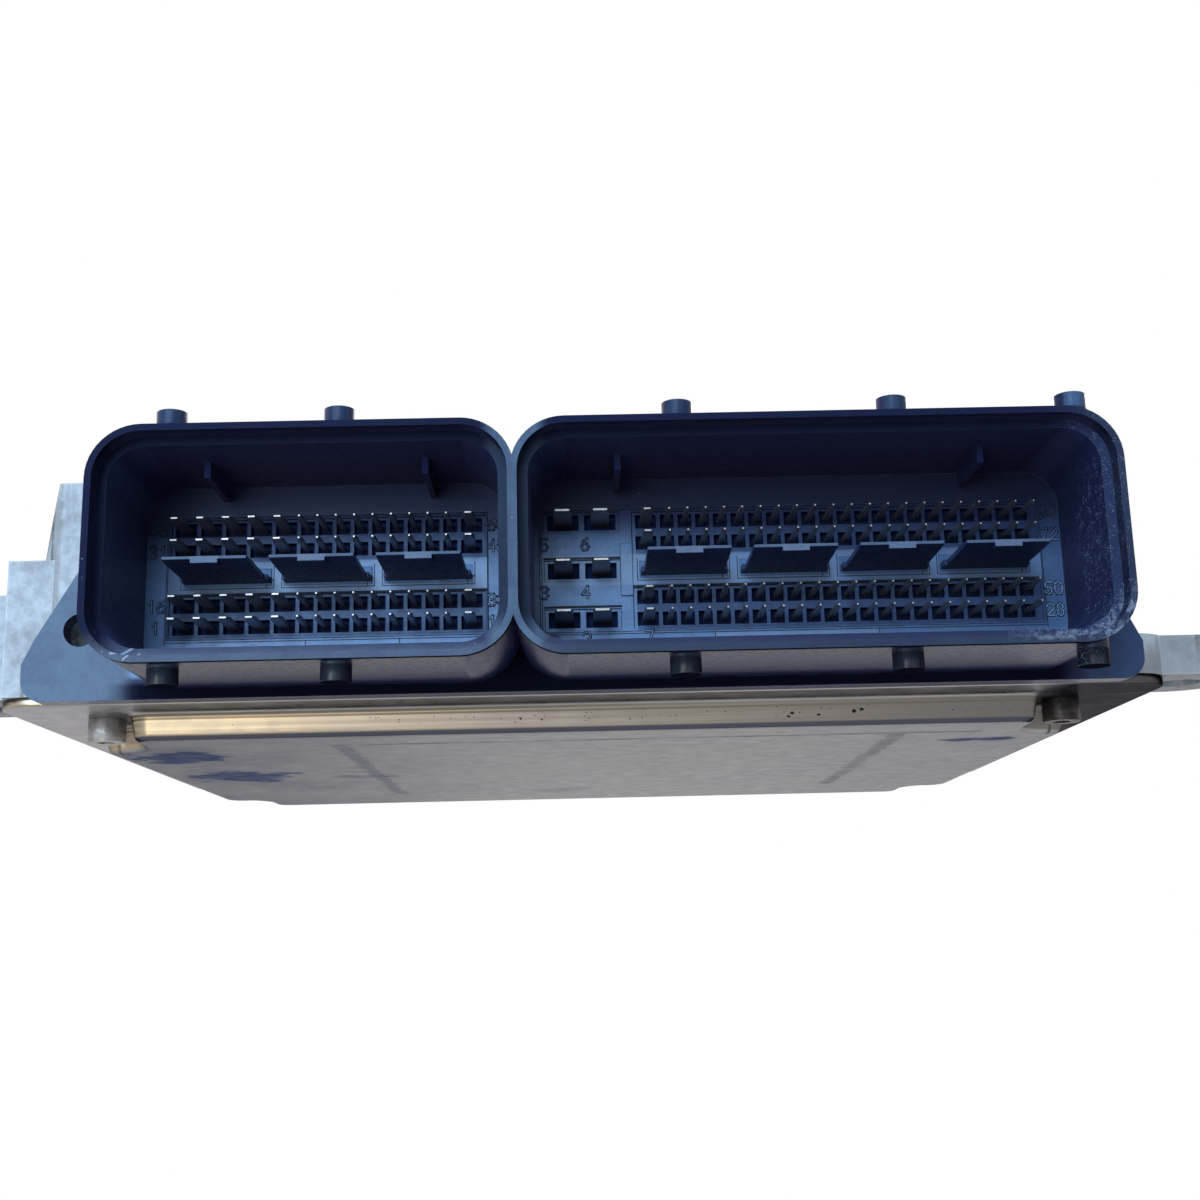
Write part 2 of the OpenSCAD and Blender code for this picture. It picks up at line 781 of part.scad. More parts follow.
module housing() {
    color("#b9bdc2")
    difference() {
        union() {
            difference() {
                union() {
                    cast_walls();
                    along_z(cast_z, cast_z + rim_t)
                        rim_plan(0);
                    fins();
                }
                cast_room();
            }
            intersection() {
                inner_posts();
                cast_walls();
            }
            side_ear(1, cast_z + rim_t);
            side_ear(-1, tall_ear_z);
            rear_ear(-rear_ear_x);
            rear_ear(rear_ear_x);
            translate([-cast_half - shoulder_out, flange_back_y + gap, cast_z])
                cube([shoulder_w, 2 * ear_r, shoulder_z - cast_z]);
        }
        along_y(flange_back_y - eps, cavity_y + eps)
            collar_outline(gap);
        for (at = ear_places)
            translate([at[0], at[1], 0])
                cylinder(d = ear_hole_d, h = housing_top);
        for (i = [-1, 1], y = screw_y)
            translate([i * screw_x, y, cast_z - eps])
                cylinder(d = screw_d, h = screw_l + eps);
        for (i = [-1, 1], y = board_post_y)
            translate([i * board_post_x, y, board_top - eps])
                cylinder(d = board_screw_d, h = board_screw_l + 1 + eps);
        translate([vent_x, vent_y, ceiling_z - eps])
            cylinder(d = vent_hole_d, h = cast_wall + 2 * eps);
        locating_hole(flange_back_y - eps, cavity_y - 0.8);
        cover_bead();
        header_bead();
    }
}

// Block with leaning sides and round corners, pressed down to z0 from a full outline at z1
module pressed_block(half, y0, y1, r, z0, z1) {
    lean = step_lean * (z1 - z0) / cover_drop;
    along_y(y0 + r, y1 - r)
        polygon([[-half + lean, z0], [half - lean, z0], [half, z1], [-half, z1]]);
    along_x(0, 2 * (half - r))
        polygon([[y0 + lean, z0], [y1 - lean, z0], [y1, z1], [y0, z1]]);
    for (x = [r - half, half - r], y = [y0 + r, y1 - r])
        translate([x, y, z0])
            cylinder(r1 = r - lean, r2 = r, h = z1 - z0);
}

// Pressed-out flat of the cover, shrunk by an inset and raised by a lift, with notches for the screws
module cover_flat(inset, lift) {
    top = cover_drop + lift + eps;
    grow = step_lean * eps / cover_drop;
    edge = inset - grow;
    wide = flat_half - edge;
    narrow = screw_x - notch_r - edge;
    notch = notch_r + edge;
    lean = step_lean + grow;
    pressed_block(narrow, flat_front_y + edge, flat_rear_y - edge, flat_r - edge, lift, top);
    pressed_block(wide, screw_y[0] + notch, screw_y[1] - notch, flat_r - edge, lift, top);
    for (i = [-1, 1], j = [0, 1])
        difference() {
            along_z(lift, top)
                translate([i * (screw_x - notch), screw_y[j] + (1 - 2 * j) * notch])
                    square(2 * notch, center = true);
            translate([i * screw_x, screw_y[j], lift])
                cylinder(r1 = notch + lean, r2 = notch, h = top - lift);
        }
}

module cover() {
    color("#a89878")
    difference() {
        union() {
            cover_flat(0, 0);
            along_z(cover_drop, cast_z)
                translate([0, (cover_front_y + rear_y) / 2])
                    rounded([cover_w, rear_y - cover_front_y], cast_r);
        }
        cover_flat(sheet_t, sheet_t);
        for (i = [-1, 1], y = screw_y)
            translate([i * screw_x, y, 0])
                cylinder(d = screw_d + 2 * gap, h = housing_top);
    }
}

module header_seal() {
    color("#3a3f46")
    header_bead();
}

module cover_seal() {
    color("#3a3f46")
    cover_bead();
}

module circuit_board() {
    color("#2f6b45")
    along_z(board_z, board_top)
        difference() {
            box2(-board_half, board_front_y, board_half, board_rear_y);
            for (i = [-1, 1], y = screw_y)
                translate([i * screw_x, y])
                    circle(cast_post_r + 1);
            for (i = [-1, 1], y = screw_y)
                box2(min(i * (screw_x - cast_post_r - 1), i * rim_w), min(y, y < 0 ? -rim_w : rim_w),
                    max(i * (screw_x - cast_post_r - 1), i * rim_w), max(y, y < 0 ? -rim_w : rim_w));
            for (i = [-1, 1], y = board_post_y)
                translate([i * board_post_x, y])
                    circle(d = board_screw_d + 2 * gap);
            for (x = concat(signal_x_60, signal_x_94), y = lead_y)
                translate([x, y])
                    circle(d = signal_t * 1.6);
            for (x = concat(power_x_60, sense_x_94), y = lead_y)
                translate([x, y])
                    circle(d = power_w + signal_t / 2);
            for (x = supply_x_94, r = [0 : supply_rows - 1])
                translate([x, lead_y[r]])
                    square([supply_w + gap, supply_t + gap], center = true);
        }
}

// Flat package standing on the board
module chip(x, y, size) {
    translate([x - size[0] / 2, y - size[1] / 2, board_top])
        cube(size);
}

module microcontroller() {
    color("#202226")
    chip(0, chip_y, mcu_size);
}

module flash_memory() {
    color("#202226")
    chip(flash_x, chip_y, flash_size);
}

module power_supply_ic() {
    color("#202226")
    chip(supply_x, chip_y, supply_size);
}

module driver_ics() {
    color("#202226")
    for (x = driver_x)
        chip(x, driver_y, driver_size);
}

module bus_transceivers() {
    color("#202226")
    for (x = transceiver_x)
        chip(x, chip_y, transceiver_size);
}

module switching_transistors() {
    color("#202226")
    for (x = fet_x)
        chip(x, fet_y, fet_size);
}

module boost_capacitors() {
    color("#8d949c")
    for (x = can_x)
        translate([x, can_y, board_top])
            cylinder(d = can_d, h = can_h);
}

module power_inductor() {
    color("#3b3b3d")
    chip(inductor_x, chip_y, inductor_size);
}

module crystal() {
    color("#c4c8cc")
    chip(0, crystal_y, crystal_size);
}

module pressure_sensor() {
    color("#2a2c30")
    chip(sensor_x, sensor_y, sensor_size);
}

module ceramic_capacitors() {
    color("#a58a6a")
    for (i = [-5 : 5])
        chip(i * ceramic_pitch, ceramic_y, ceramic_size);
}

module thermal_pads() {
    color("#8fa3b5")
    for (x = driver_x)
        translate([x - driver_size[0] / 2, driver_y - driver_size[1] / 2, board_top + ic_h])
            cube([driver_size[0], driver_size[1], pad_t]);
}

module vent_cap() {
    color("#1b1d20")
    translate([vent_x, vent_y, 0]) {
        translate([0, 0, housing_top])
            cylinder(d = vent_d, h = vent_h);
        translate([0, 0, ceiling_z])
            cylinder(d = vent_hole_d, h = cast_wall);
    }
}

module cover_screws() {
    color("#d2d0c8")
    for (i = [-1, 1], y = screw_y)
        translate([i * screw_x, y, 0])
            difference() {
                union() {
                    translate([0, 0, cover_drop - screw_head_h])
                        cylinder(d = screw_head_d, h = screw_head_h);
                    translate([0, 0, cover_drop])
                        cylinder(d = screw_d, h = sheet_t + screw_l - 1);
                }
                translate([0, 0, cover_drop - screw_head_h - eps])
                    cylinder(d = screw_head_d / 2, h = screw_head_h / 2 + eps, $fn = 6);
            }
}

module board_screws() {
    color("#c8cacc")
    for (i = [-1, 1], y = board_post_y)
        translate([i * board_post_x, y, 0]) {
            translate([0, 0, board_z - board_screw_head_h])
                cylinder(d = board_screw_head_d, h = board_screw_head_h);
            translate([0, 0, board_z])
                cylinder(d = board_screw_d, h = board_t + board_screw_l);
        }
}

housing();
cover();
connector_header();
pin_carrier_60();
pin_carrier_94();
guide_blades_60();
guide_blades_94();
signal_pins_60();
power_pins_60();
signal_pins_94();
sense_pins_94();
supply_blades_94();
header_seal();
cover_seal();
circuit_board();
microcontroller();
flash_memory();
power_supply_ic();
driver_ics();
bus_transceivers();
switching_transistors();
boost_capacitors();
power_inductor();
crystal();
pressure_sensor();
ceramic_capacitors();
thermal_pads();
vent_cap();
cover_screws();
board_screws();
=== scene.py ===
"""Dresses the engine control unit: cover, pin numbers, seams, dirt, finishes with painted light and shade,
light and camera.
"""
import math
import random
from types import SimpleNamespace

import bmesh
import bpy
from mathutils import Euler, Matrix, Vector


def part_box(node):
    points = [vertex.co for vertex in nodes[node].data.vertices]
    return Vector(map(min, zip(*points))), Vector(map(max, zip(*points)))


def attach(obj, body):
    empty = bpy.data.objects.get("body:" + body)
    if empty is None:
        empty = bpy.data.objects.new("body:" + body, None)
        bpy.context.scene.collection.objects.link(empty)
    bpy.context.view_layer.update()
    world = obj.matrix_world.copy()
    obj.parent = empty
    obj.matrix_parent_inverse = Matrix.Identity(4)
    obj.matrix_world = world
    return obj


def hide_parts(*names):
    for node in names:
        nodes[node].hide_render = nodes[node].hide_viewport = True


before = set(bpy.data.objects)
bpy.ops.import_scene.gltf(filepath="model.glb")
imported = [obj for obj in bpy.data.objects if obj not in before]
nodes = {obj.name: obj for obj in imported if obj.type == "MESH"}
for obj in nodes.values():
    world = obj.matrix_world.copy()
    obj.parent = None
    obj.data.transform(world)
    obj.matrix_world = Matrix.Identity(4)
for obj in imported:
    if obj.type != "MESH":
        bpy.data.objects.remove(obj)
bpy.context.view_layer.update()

MM = 0.001

# Camera of the photograph: place in the part's frame, turn in degrees, lens and sensor in mm, clip in m
CAMERA_AT = Vector((-0.18, -262.56, -29.15)) * MM
CAMERA_TURN = (102.605, 1.337, -0.394)
CAMERA_LENS = 45.74
CAMERA_SENSOR = 36.0
CAMERA_CLIP = (0.01, 20.0)

# Lamps: name, place in metres, aim in metres, size in metres, power in watts, colour
LAMPS = [
    ("sky_front", (-0.36, -0.80, 0.32), (0.0, -0.06, 0.02), 0.80, 14.0, (0.50, 0.74, 1.0)),
    ("sky_top", (0.05, -0.15, 0.95), (0.0, 0.0, 0.02), 0.90, 6.5, (0.62, 0.80, 1.0)),
    ("ground_warm", (-0.36, -0.74, -0.18), (-0.04, -0.05, 0.0), 0.34, 1.3, (1.0, 0.88, 0.68)),
    ("sky_back", (0.25, 0.70, 0.55), (0.0, 0.0, 0.02), 0.70, 6.5, (0.85, 0.93, 1.0)),
]
WORLD_AMBIENT = (0.62, 0.78, 1.0)
WORLD_AMBIENT_STRENGTH = 0.32

# Floor: half width and the reach over which it fades out in metres, height in millimetres, finish
FLOOR_HALF = 3.0
FLOOR_FADE = (0.45, 1.3)
FLOOR_Z = -0.2
FLOOR_COLOR = (0.66, 0.56, 0.47)
FLOOR_ROUGHNESS = 0.8

# Soft edges of the carried-over nodes: width in millimetres and number of segments
SOFT_EDGES = {
    "connector_header": (0.35, 3),
    "housing": (0.7, 3),
    "guide_blades_60": (0.08, 2),
    "guide_blades_94": (0.08, 2),
    "pin_carrier_60": (0.06, 1),
    "pin_carrier_94": (0.06, 1),
    "vent_cap": (0.4, 3),
    "cover_screws": (0.3, 2),
}
WELD_REACH = 0.002
SHARP_ANGLE = 35

# Pressed cover, in millimetres: half widths and ends of its flat, screws, notches and folds
FLAT_WIDE = 73.0
FLAT_NARROW = 65.5
FLAT_FRONT = -47.5
FLAT_REAR = 59.5
FLAT_R = 3.6
SCREW_AT = (70.25, -39.5)
NOTCH_R = 4.75
DROP = 4.1
SHEET = 1.3
STEP_LEAN = 0.8
UPPER_FOLD = 1.0
LOWER_FOLD = 1.15
FLANGE_LEAD = 0.4
FLAT_LEAD = 0.5
FOLD_STEPS = 7
ARC_STEPS = 12
COVER_CORNER = 6.0
# Outer edge of the cover: inset and height over the flange
COVER_EDGE = [(0.3, 0.0), (0.09, 0.09), (0.0, 0.3), (0.0, SHEET)]

# Face that carries the pins, the middles of the pin rows and of the guide blades, in millimetres
PLATE_Y = -55.5
FIELD_Z = 21.4
ROW_Z = (14.4, 17.5, 25.3, 28.4)
GUIDE_PITCH = 14.0
GUIDE_TAB_HALF = 1.75
GUIDES_60 = [-35.5 + GUIDE_PITCH * i for i in (-1, 0, 1)]
GUIDES_94 = [35.1 + GUIDE_PITCH * i for i in (-1.5, -0.5, 0.5, 1.5)]

# Pin numbers: text, middle x and middle z in millimetres. Row numbers: middle x, texts from the top row down.
ROW_NUMBERS = [
    (-12.0, ("60", "45", "30", "15")),
    (-59.3, ("46", "31", "16", "1")),
    (65.7, ("94", "72", "50", "28")),
]
NUMBERS = [
    ("5", -5.35, 25.2), ("6", 0.4, 25.2), ("3", -5.4, 18.3), ("4", 0.4, 18.3),
    ("1", -5.4, 11.75), ("2", 0.4, 11.75), ("7", 9.1, 11.8),
]
NUMBERS += [(text, x, z) for x, texts in ROW_NUMBERS for text, z in zip(texts, reversed(ROW_Z))]
DIGIT_H = 1.65
DIGIT_W = 1.0
DIGIT_GAP = 1.4
NUMBER_W = 0.2
NUMBER_H = 0.12
# Wider dark strokes under the numbers: a painted shadow round their edges
NUMBER_SHADOW_W = 0.42
NUMBER_SHADOW_H = 0.04
# Strokes of the digits, in parts of their width and height
DIGITS = {
    "0": [[(0.25, 0), (0.75, 0), (1, 0.25), (1, 0.75), (0.75, 1), (0.25, 1), (0, 0.75), (0, 0.25),
           (0.25, 0)]],
    "1": [[(0.2, 0.75), (0.6, 1), (0.6, 0)]],
    "2": [[(0, 0.78), (0.25, 1), (0.75, 1), (1, 0.78), (1, 0.6), (0, 0), (1, 0)]],
    "3": [[(0, 0.85), (0.25, 1), (0.75, 1), (1, 0.8), (0.75, 0.53), (0.4, 0.53)],
          [(0.75, 0.53), (1, 0.27), (0.75, 0), (0.25, 0), (0, 0.15)]],
    "4": [[(0.75, 0), (0.75, 1), (0, 0.3), (1, 0.3)]],
    "5": [[(0.95, 1), (0.1, 1), (0.05, 0.55), (0.7, 0.6), (1, 0.33), (0.75, 0), (0.25, 0), (0, 0.15)]],
    "6": [[(0.85, 1), (0.3, 0.78), (0, 0.35), (0.22, 0), (0.78, 0), (1, 0.28), (0.75, 0.55),
           (0.25, 0.52), (0.03, 0.35)]],
    "7": [[(0, 1), (1, 1), (0.35, 0)]],
    "8": [[(0.3, 0.53), (0.05, 0.78), (0.3, 1), (0.7, 1), (0.95, 0.78), (0.7, 0.53), (0.3, 0.53),
           (0, 0.27), (0.25, 0), (0.75, 0), (1, 0.27), (0.7, 0.53)]],
    "9": [[(0.15, 0), (0.7, 0.22), (1, 0.65), (0.78, 1), (0.22, 1), (0, 0.72), (0.25, 0.45),
           (0.75, 0.48), (0.97, 0.65)]],
}

# Raised strokes: how far a stroke runs past its ends and how wide its top is, in parts of its width
STROKE_PAST = 0.4
STROKE_TOP = 0.7

# Painted shadows along the tops of the pin panels, drawn as dark raised strokes: left x, right x and middle z
# in millimetres
PANEL_EDGE_SHADOWS = [
    (-57.5, -13.5, 19.0), (-57.5, -13.5, 29.9), (7.0, 63.9, 19.0), (7.0, 63.9, 29.9),
    (-5.35, 5.25, 16.2), (-5.35, 5.25, 23.15), (-5.35, 5.25, 30.0),
]
PANEL_SHADOW_W = 0.34

# Fine mould seams, in millimetres: guide feet, sides and bottoms of the pin fields, short seams below
SEAM_W = 0.12
SEAM_H = 0.03
FOOT_HALF = (6.45, 1.55)
FOOT_NICK = (1.0, 0.4)
SIDE_SEAM_X = (-13.3, -58.0, 64.5, -6.0)
SIDE_SEAM_Z = (12.0, 30.6)
BOTTOM_SEAMS = ((-58.0, -13.3), (-6.0, 64.5))
BOTTOM_SEAM_Z = 12.3
SHORT_SEAM_X = (-38.5, -25.5, 18.2, 41.0)
SHORT_SEAM_LOW = 9.0
STRIP_SEAM = (18.2, 41.0)
STRIP_SEAM_Z = 11.6

# Flakes of dirt on the step: x, z and radius in millimetres, the scatter of small ones, and their form
LARGE_FLAKES = [
    (29.4, 1.9, 0.35), (28.9, 1.5, 0.3), (33.2, 1.6, 0.35), (38.3, 2.0, 0.42), (39.3, 2.2, 0.35),
    (-9.3, 2.0, 0.22), (-6.3, 1.8, 0.2), (6.3, 1.6, 0.18),
]
SMALL_FLAKES = 60
SMALL_FLAKE_SPREAD = 26.0
SMALL_FLAKE_Z = (1.5, 2.9)
SMALL_FLAKE_R = (0.05, 0.13)
SCATTER_SEED = 5
FLAKE_SEED = 11
FLAKE_CORNERS = 9
FLAKE_REACH = (0.55, 1.15)
FLAKE_SQUASH = 0.7
FLAKE_LIFT = 0.01
FLAKE_H = 0.12

# Limits of a surface's direction, from where a face starts to count to where it counts in full
TO_FRONT = (-0.6, -0.95)
TO_TOP = (0.6, 0.95)
TO_BOTTOM = (-0.6, -0.95)
TO_LEFT = (-0.4, -0.9)
TO_RIGHT = (0.4, 0.9)
TO_NOSE = (-0.5, -0.9)
TO_TIP = (-0.3, -0.8)

# Range over which most noises run from their low to their high value
NOISE_RANGE = (0.3, 0.7)

# Plastics, the painted light and shade on them and what lies on them, and the gloss of blades and marks
PLASTIC = (0.0100, 0.0125, 0.034)
# Lighter inside the sockets: a painted fill light
INNER_LIT_PLASTIC = (0.0150, 0.0190, 0.062)
OUTER_PLASTIC = (0.0110, 0.0115, 0.0140)
PIT_PLASTIC = (0.014, 0.021, 0.062)
# Painted shade: under the shrouds, on ledges, on the tops of the plates and on the right walls
SHADE_PLASTIC = (0.006, 0.007, 0.017)
# Painted light: lighter walls that face right, and lighter ceilings of the sockets
LIT_WALL_PLASTIC = (0.042, 0.052, 0.120)
LIT_CEILING_PLASTIC = (0.034, 0.033, 0.090)
# Colour of rubbed, dusty edges, also used for a painted pale light on flange, floors, rims and blade noses
DUST_AND_PAINTED_LIGHT = (0.090, 0.125, 0.182)
# Painted blue sky light on the plates, the carriers, the right flange, the top pegs and the blade feet
PAINTED_SKY_LIGHT = (0.130, 0.240, 0.430)
# Pale dusty specks, grit, smears and scratches, also used for painted light on the carriers and the blade
# tabs
PALE_DUST_AND_PAINTED_LIGHT = (0.36, 0.42, 0.50)
LOW_GLOSS = 0.14

# Zones of the header. Spans: axis, start and end in mm, and the values there where they aren't 0 and 1.
# Strips, whose names end in strip: axis, middle, half width and soft border in mm.
HEADER_ZONES = {
    "deep": ("Y", -61.0, -58.5),
    "mouth": ("Y", -70.0, -73.0),
    "inner": ("Y", -75.5, -73.5),
    "left_end": ("X", -61.0, -63.5),
    "right_end": ("X", 67.0, 69.5),
    # Painted sky light on the plates: strongest low down and on the left, fading upward and to the right
    "plate_sky_light": ("Z", 30.0, 20.0, 0.03, 0.72),
    "plate_foot": ("Z", 13.5, 10.0, 0.0, 0.36),
    "plate_to_right": ("X", -12.0, 68.0, 1.0, 0.5),
    "plate_from_left": ("X", -61.0, -50.0, 0.95, 1.0),
    "plate_edge": ("Z", 6.8, 7.6),
    "plate_top": ("Z", 27.0, 30.0),
    "plate_top_shade": ("X", -12.0, -4.0, 0.35, 0.58),
    "top_peg_height": ("Z", 37.0, 37.4),
    "top_peg_depth": ("Y", -62.0, -64.0),
    "low_peg_height": ("Z", 5.6, 5.2),
    "low_peg_depth": ("Y", -60.0, -62.0),
    "low_peg_strip": ("Z", 3.4, 0.3, 1.0),
    # Painted pale light on the floors and rims, fading to the right
    "floor_height": ("Z", 12.0, 9.0),
    "floor_to_right": ("X", -20.0, 40.0, 1.0, 0.6),
    "low_lip_height": ("Z", 8.5, 6.5),
    "low_lip_to_right": ("X", -10.0, 0.0, 0.5, 0.16),
    "right_lip": ("X", 58.0, 71.0, 0.0, 0.14),
    "divider_strip": ("X", -8.5, 2.5, 2.0),
    "right_wall": ("X", 45.0, 60.0),
    # Walls that face right, which take a painted light
    "left_wall_60_strip": ("X", -60.8, 1.0, 0.5),
    "left_wall_94_strip": ("X", -6.85, 1.0, 0.5),
    "left_wall_depth": ("Y", -75.0, -73.5),
    # Places of painted shade: the ledge, under the shrouds, between them, the lower edge
    "ledge_depth": ("Y", -76.2, -75.2),
    "ledge_height": ("Z", 9.0, 12.0),
    "ledge_to_right": ("X", 66.0, 60.0),
    "under_height": ("Z", 6.8, 6.0),
    "under_left": ("X", -66.0, -60.0),
    "under_right": ("X", 67.5, 64.5),
    "gap_strip": ("X", -8.0, 4.0, 1.0),
    "gap_height": ("Z", 14.0, 10.5),
    "lower_edge": ("Y", -75.6, -76.3),
    "outer_top": ("Z", 33.0, 35.0),
    "outer_left": ("X", -61.5, -62.5),
    "outer_right": ("X", 68.5, 69.3),
    # Ceilings of the sockets, which take a painted light
    "ceiling": ("Z", 26.0, 30.0),
    "pale_across_strip": ("X", 29.6, 11.4, 0.2),
    "pale_height_strip": ("Z", 11.4, 0.75, 0.2),
    "corner_across": ("X", 50.0, 63.0),
    "corner_height": ("Z", 14.0, 9.0),
    "corner_bottom": ("Z", 5.8, 6.4),
    "corner_depth": ("Y", -58.5, -60.5),
    "grit_depth": ("Y", -61.0, -65.0),
    "grit_height": ("Z", 34.0, 26.0),
    "grit_rim": ("X", 60.0, 67.0),
    "dull_lip_height": ("Z", 8.0, 10.0),
    "dull_lip_to_right": ("X", 70.0, 60.0, 0.3, 0.92),
    "rib_front": ("Y", -72.5, -71.0),
    "rib_rear": ("Y", -60.0, -62.0),
    "under_sheen_height": ("Z", 8.0, 6.5),
    "under_sheen_to_right": ("X", -20.0, 0.0, 0.066, 0.054),
}
LOWER_EDGE_FACING = (-0.25, -0.55)
GLINT_FACING = (0.0, 0.15, 0.4)

# Scratches of the small socket's rim: ends in X and Z, half width and soft borders, in millimetres
RIM_SCRATCHES = [((-58.1, 7.1), (-56.1, 8.2)), ((-57.0, 6.1), (-55.7, 7.2)), ((-58.6, 6.9), (-57.6, 7.0))]
SCRATCH_HALF = 0.1
SCRATCH_SOFT = 0.1
SCRATCH_END = 0.15

# Zones of the pin carriers, written as those of the header
CARRIER_ZONES = {
    # Painted sky light on the carriers, stronger low down
    "haze": ("Z", 30.0, 22.0, 0.06, 0.9),
    "upper_rows_strip": ("Z", 26.85, 3.1, 0.3),
    "lower_rows_strip": ("Z", 15.95, 3.1, 0.3),
    "supply_strip": ("X", 0.0, 7.3, 0.4),
    "from_left": ("X", -60.0, -35.0, 0.5, 1.0),
    "to_right": ("X", -12.0, 66.0, 1.0, 0.5),
    "shallow": ("Y", PLATE_Y + 0.9, PLATE_Y + 0.4),
    "worn": ("Z", 30.0, 12.0, 0.1, 0.3),
}

# Zones of the guide blades, of the marks, of the pins and of the screws
GUIDE_ZONES = {
    "nose": ("Y", -65.0, -67.0),
    "foot": ("Y", -58.0, -56.5),
    "foot_to_right": ("X", -12.0, 66.0, 0.8, 0.4),
}
MARK_ZONES = {"top_rows": ("Z", 23.0, 27.0, 0.0, 0.9)}
PIN_ZONES = {"to_right": ("X", -45.0, 5.0)}
SCREW_ZONES = {"to_right": ("X", -10.0, 10.0)}

# Zones of the cover
SHEET_ZONES = {
    # Painted warm reflection of the step, from left to right
    "warm_reflection_to_middle": ("X", -75.0, 5.0),
    "warm_reflection_to_right": ("X", 0.0, 66.0),
    # Lower fold, which takes a painted shade
    "low_fold_height": ("Z", 1.8, 1.2),
    "low_fold_depth": ("Y", -44.5, -45.5),
    "step_line_strip": ("Z", 3.05, 0.10, 0.12),
    "step_line_to_left": ("X", 60.0, -30.0, 0.3, 0.8),
    "fold_line_strip": ("Z", 3.55, 0.12, 0.14),
    "fold_line_to_left": ("X", 40.0, -20.0, 0.15, 0.75),
    "flat": ("Z", 0.8, 0.3),
    "front_line_strip": ("X", 11.0, 47.5, 1.0),
    "side_line_x": ("X", -1.0, 1.0, -36.4, 46.8),
    "side_line_strip": ("Y", 0.0, 37.5, 1.5),
    "flange": ("Z", 3.4, 3.9),
    # Right corner of the flange: dirt and painted shade
    "grime": ("X", 62.0, 69.0),
    "tint_to_middle": ("X", -70.0, 0.0),
    "tint_to_right": ("X", 20.0, 75.0),
    "flange_tint": ("X", -60.0, 0.0),
}
FRONT_LINE = (-37.3, 0.35, 0.5)
SIDE_LINE = (0.7, 1.0)
STEP_FACING = (-0.80, -0.45)
FOLD_START_FACING = (-0.985, -0.90)
FOLD_END_FACING = (-0.30, -0.55)
STREAK_STRETCH = (0.02, 0.5, 2.0)
ROLLED_STRETCH = (0.3, 0.06, 1.0)

# Darker patches of the cover's flat: middle and half size in millimetres, inner and outer limit, share
DARK_PATCHES = [
    ((-63.0, -27.0), (7.5, 8.0), 0.6, 1.1, 1.0),
    ((-59.5, 2.0), (9.5, 8.5), 0.6, 1.1, 1.0),
    ((60.5, -28.0), (5.5, 2.2), 0.6, 1.2, 1.0),
    ((-39.0, 6.0), (6.5, 3.0), 0.5, 1.2, 0.4),
    ((-5.0, 38.0), (6.0, 5.0), 0.4, 1.2, 0.25),
]

# Colours of the cover, with a painted warm reflection on the step and painted shade in the lower fold and at
# the right corner
SHEET_COLORS = {
    "flat": (0.245, 0.245, 0.255),
    "flat_pale": (0.305, 0.30, 0.30),
    "flat_dark": (0.20, 0.20, 0.215),
    # Painted warm reflection of the step: left, middle and right
    "warm_reflection_left": (0.34, 0.285, 0.205),
    "warm_reflection_middle": (0.275, 0.245, 0.215),
    "warm_reflection_right": (0.135, 0.125, 0.12),
    "streak": (0.16, 0.145, 0.125),
    # Painted shade of the lower fold
    "low_fold": (0.045, 0.050, 0.075),
    "line": (0.085, 0.070, 0.050),
    "smudge": (0.085, 0.10, 0.14),
    "outline": (0.13, 0.135, 0.15),
    "speck": (0.05, 0.05, 0.055),
    # Dirt and painted shade of the right corner
    "grime": (0.05, 0.048, 0.058),
}
# Tints of the cover's reflection at low angles, with painted shade on the left of the flat and painted light
# on the left of the flange
SHEET_TINTS_AND_SHADE = {
    "left": (0.27, 0.275, 0.32),
    "middle": (0.60, 0.60, 0.61),
    "right": (0.50, 0.50, 0.53),
    "cloud": (0.44, 0.44, 0.45),
    "flange_left": (0.80, 0.78, 0.80),
    "flange": (0.62, 0.60, 0.64),
    "line": (0.20, 0.17, 0.12),
    "smudge": (0.12, 0.17, 0.29),
    "outline": (0.24, 0.25, 0.29),
    "low_fold": (0.08, 0.09, 0.13),
    "grime": (0.08, 0.08, 0.10),
}

# Other metals
CAST_GREY = (0.27, 0.285, 0.30)
CAST_STAIN = (0.18, 0.19, 0.20)
CAST_PALE = (0.33, 0.345, 0.36)
CAST_EDGE = (0.42, 0.44, 0.46)
PIN_SIDE_DARK = (0.19, 0.195, 0.225)
PIN_SIDE_PALE = (0.25, 0.255, 0.285)
# End faces of the pins, painted brighter than the sides as a highlight, and the share of it left on the right
THIN_TIP_HIGHLIGHT = (0.42, 0.38, 0.35)
WIDE_TIP_HIGHLIGHT = (0.38, 0.34, 0.31)
RIGHT_HIGHLIGHT_SHARE = 0.7
SCREW_PALE = ((0.30, 0.29, 0.28), (0.20, 0.19, 0.185))
SCREW_BROWN = ((0.045, 0.039, 0.036), (0.018, 0.016, 0.016))

# Two colours each of the marks on the plates and of the dirt: numbers in painted light, their outlines and
# the panel lines in painted shadow
MARK_COLORS = {
    # Numbers in painted light, as lit tops
    "lit_number_plastic": ((0.15, 0.23, 0.36), (0.21, 0.29, 0.42)),
    # Outlines of the numbers, a painted shadow
    "number_shadow_plastic": ((0.012, 0.016, 0.030), (0.022, 0.030, 0.052)),
    "seam_plastic": ((0.008, 0.011, 0.022), (0.014, 0.019, 0.034)),
    # Painted shadows along the panel tops
    "panel_shadow_plastic": ((0.005, 0.006, 0.013), (0.010, 0.013, 0.025)),
    "dirt": ((0.010, 0.009, 0.009), (0.030, 0.027, 0.024)),
}

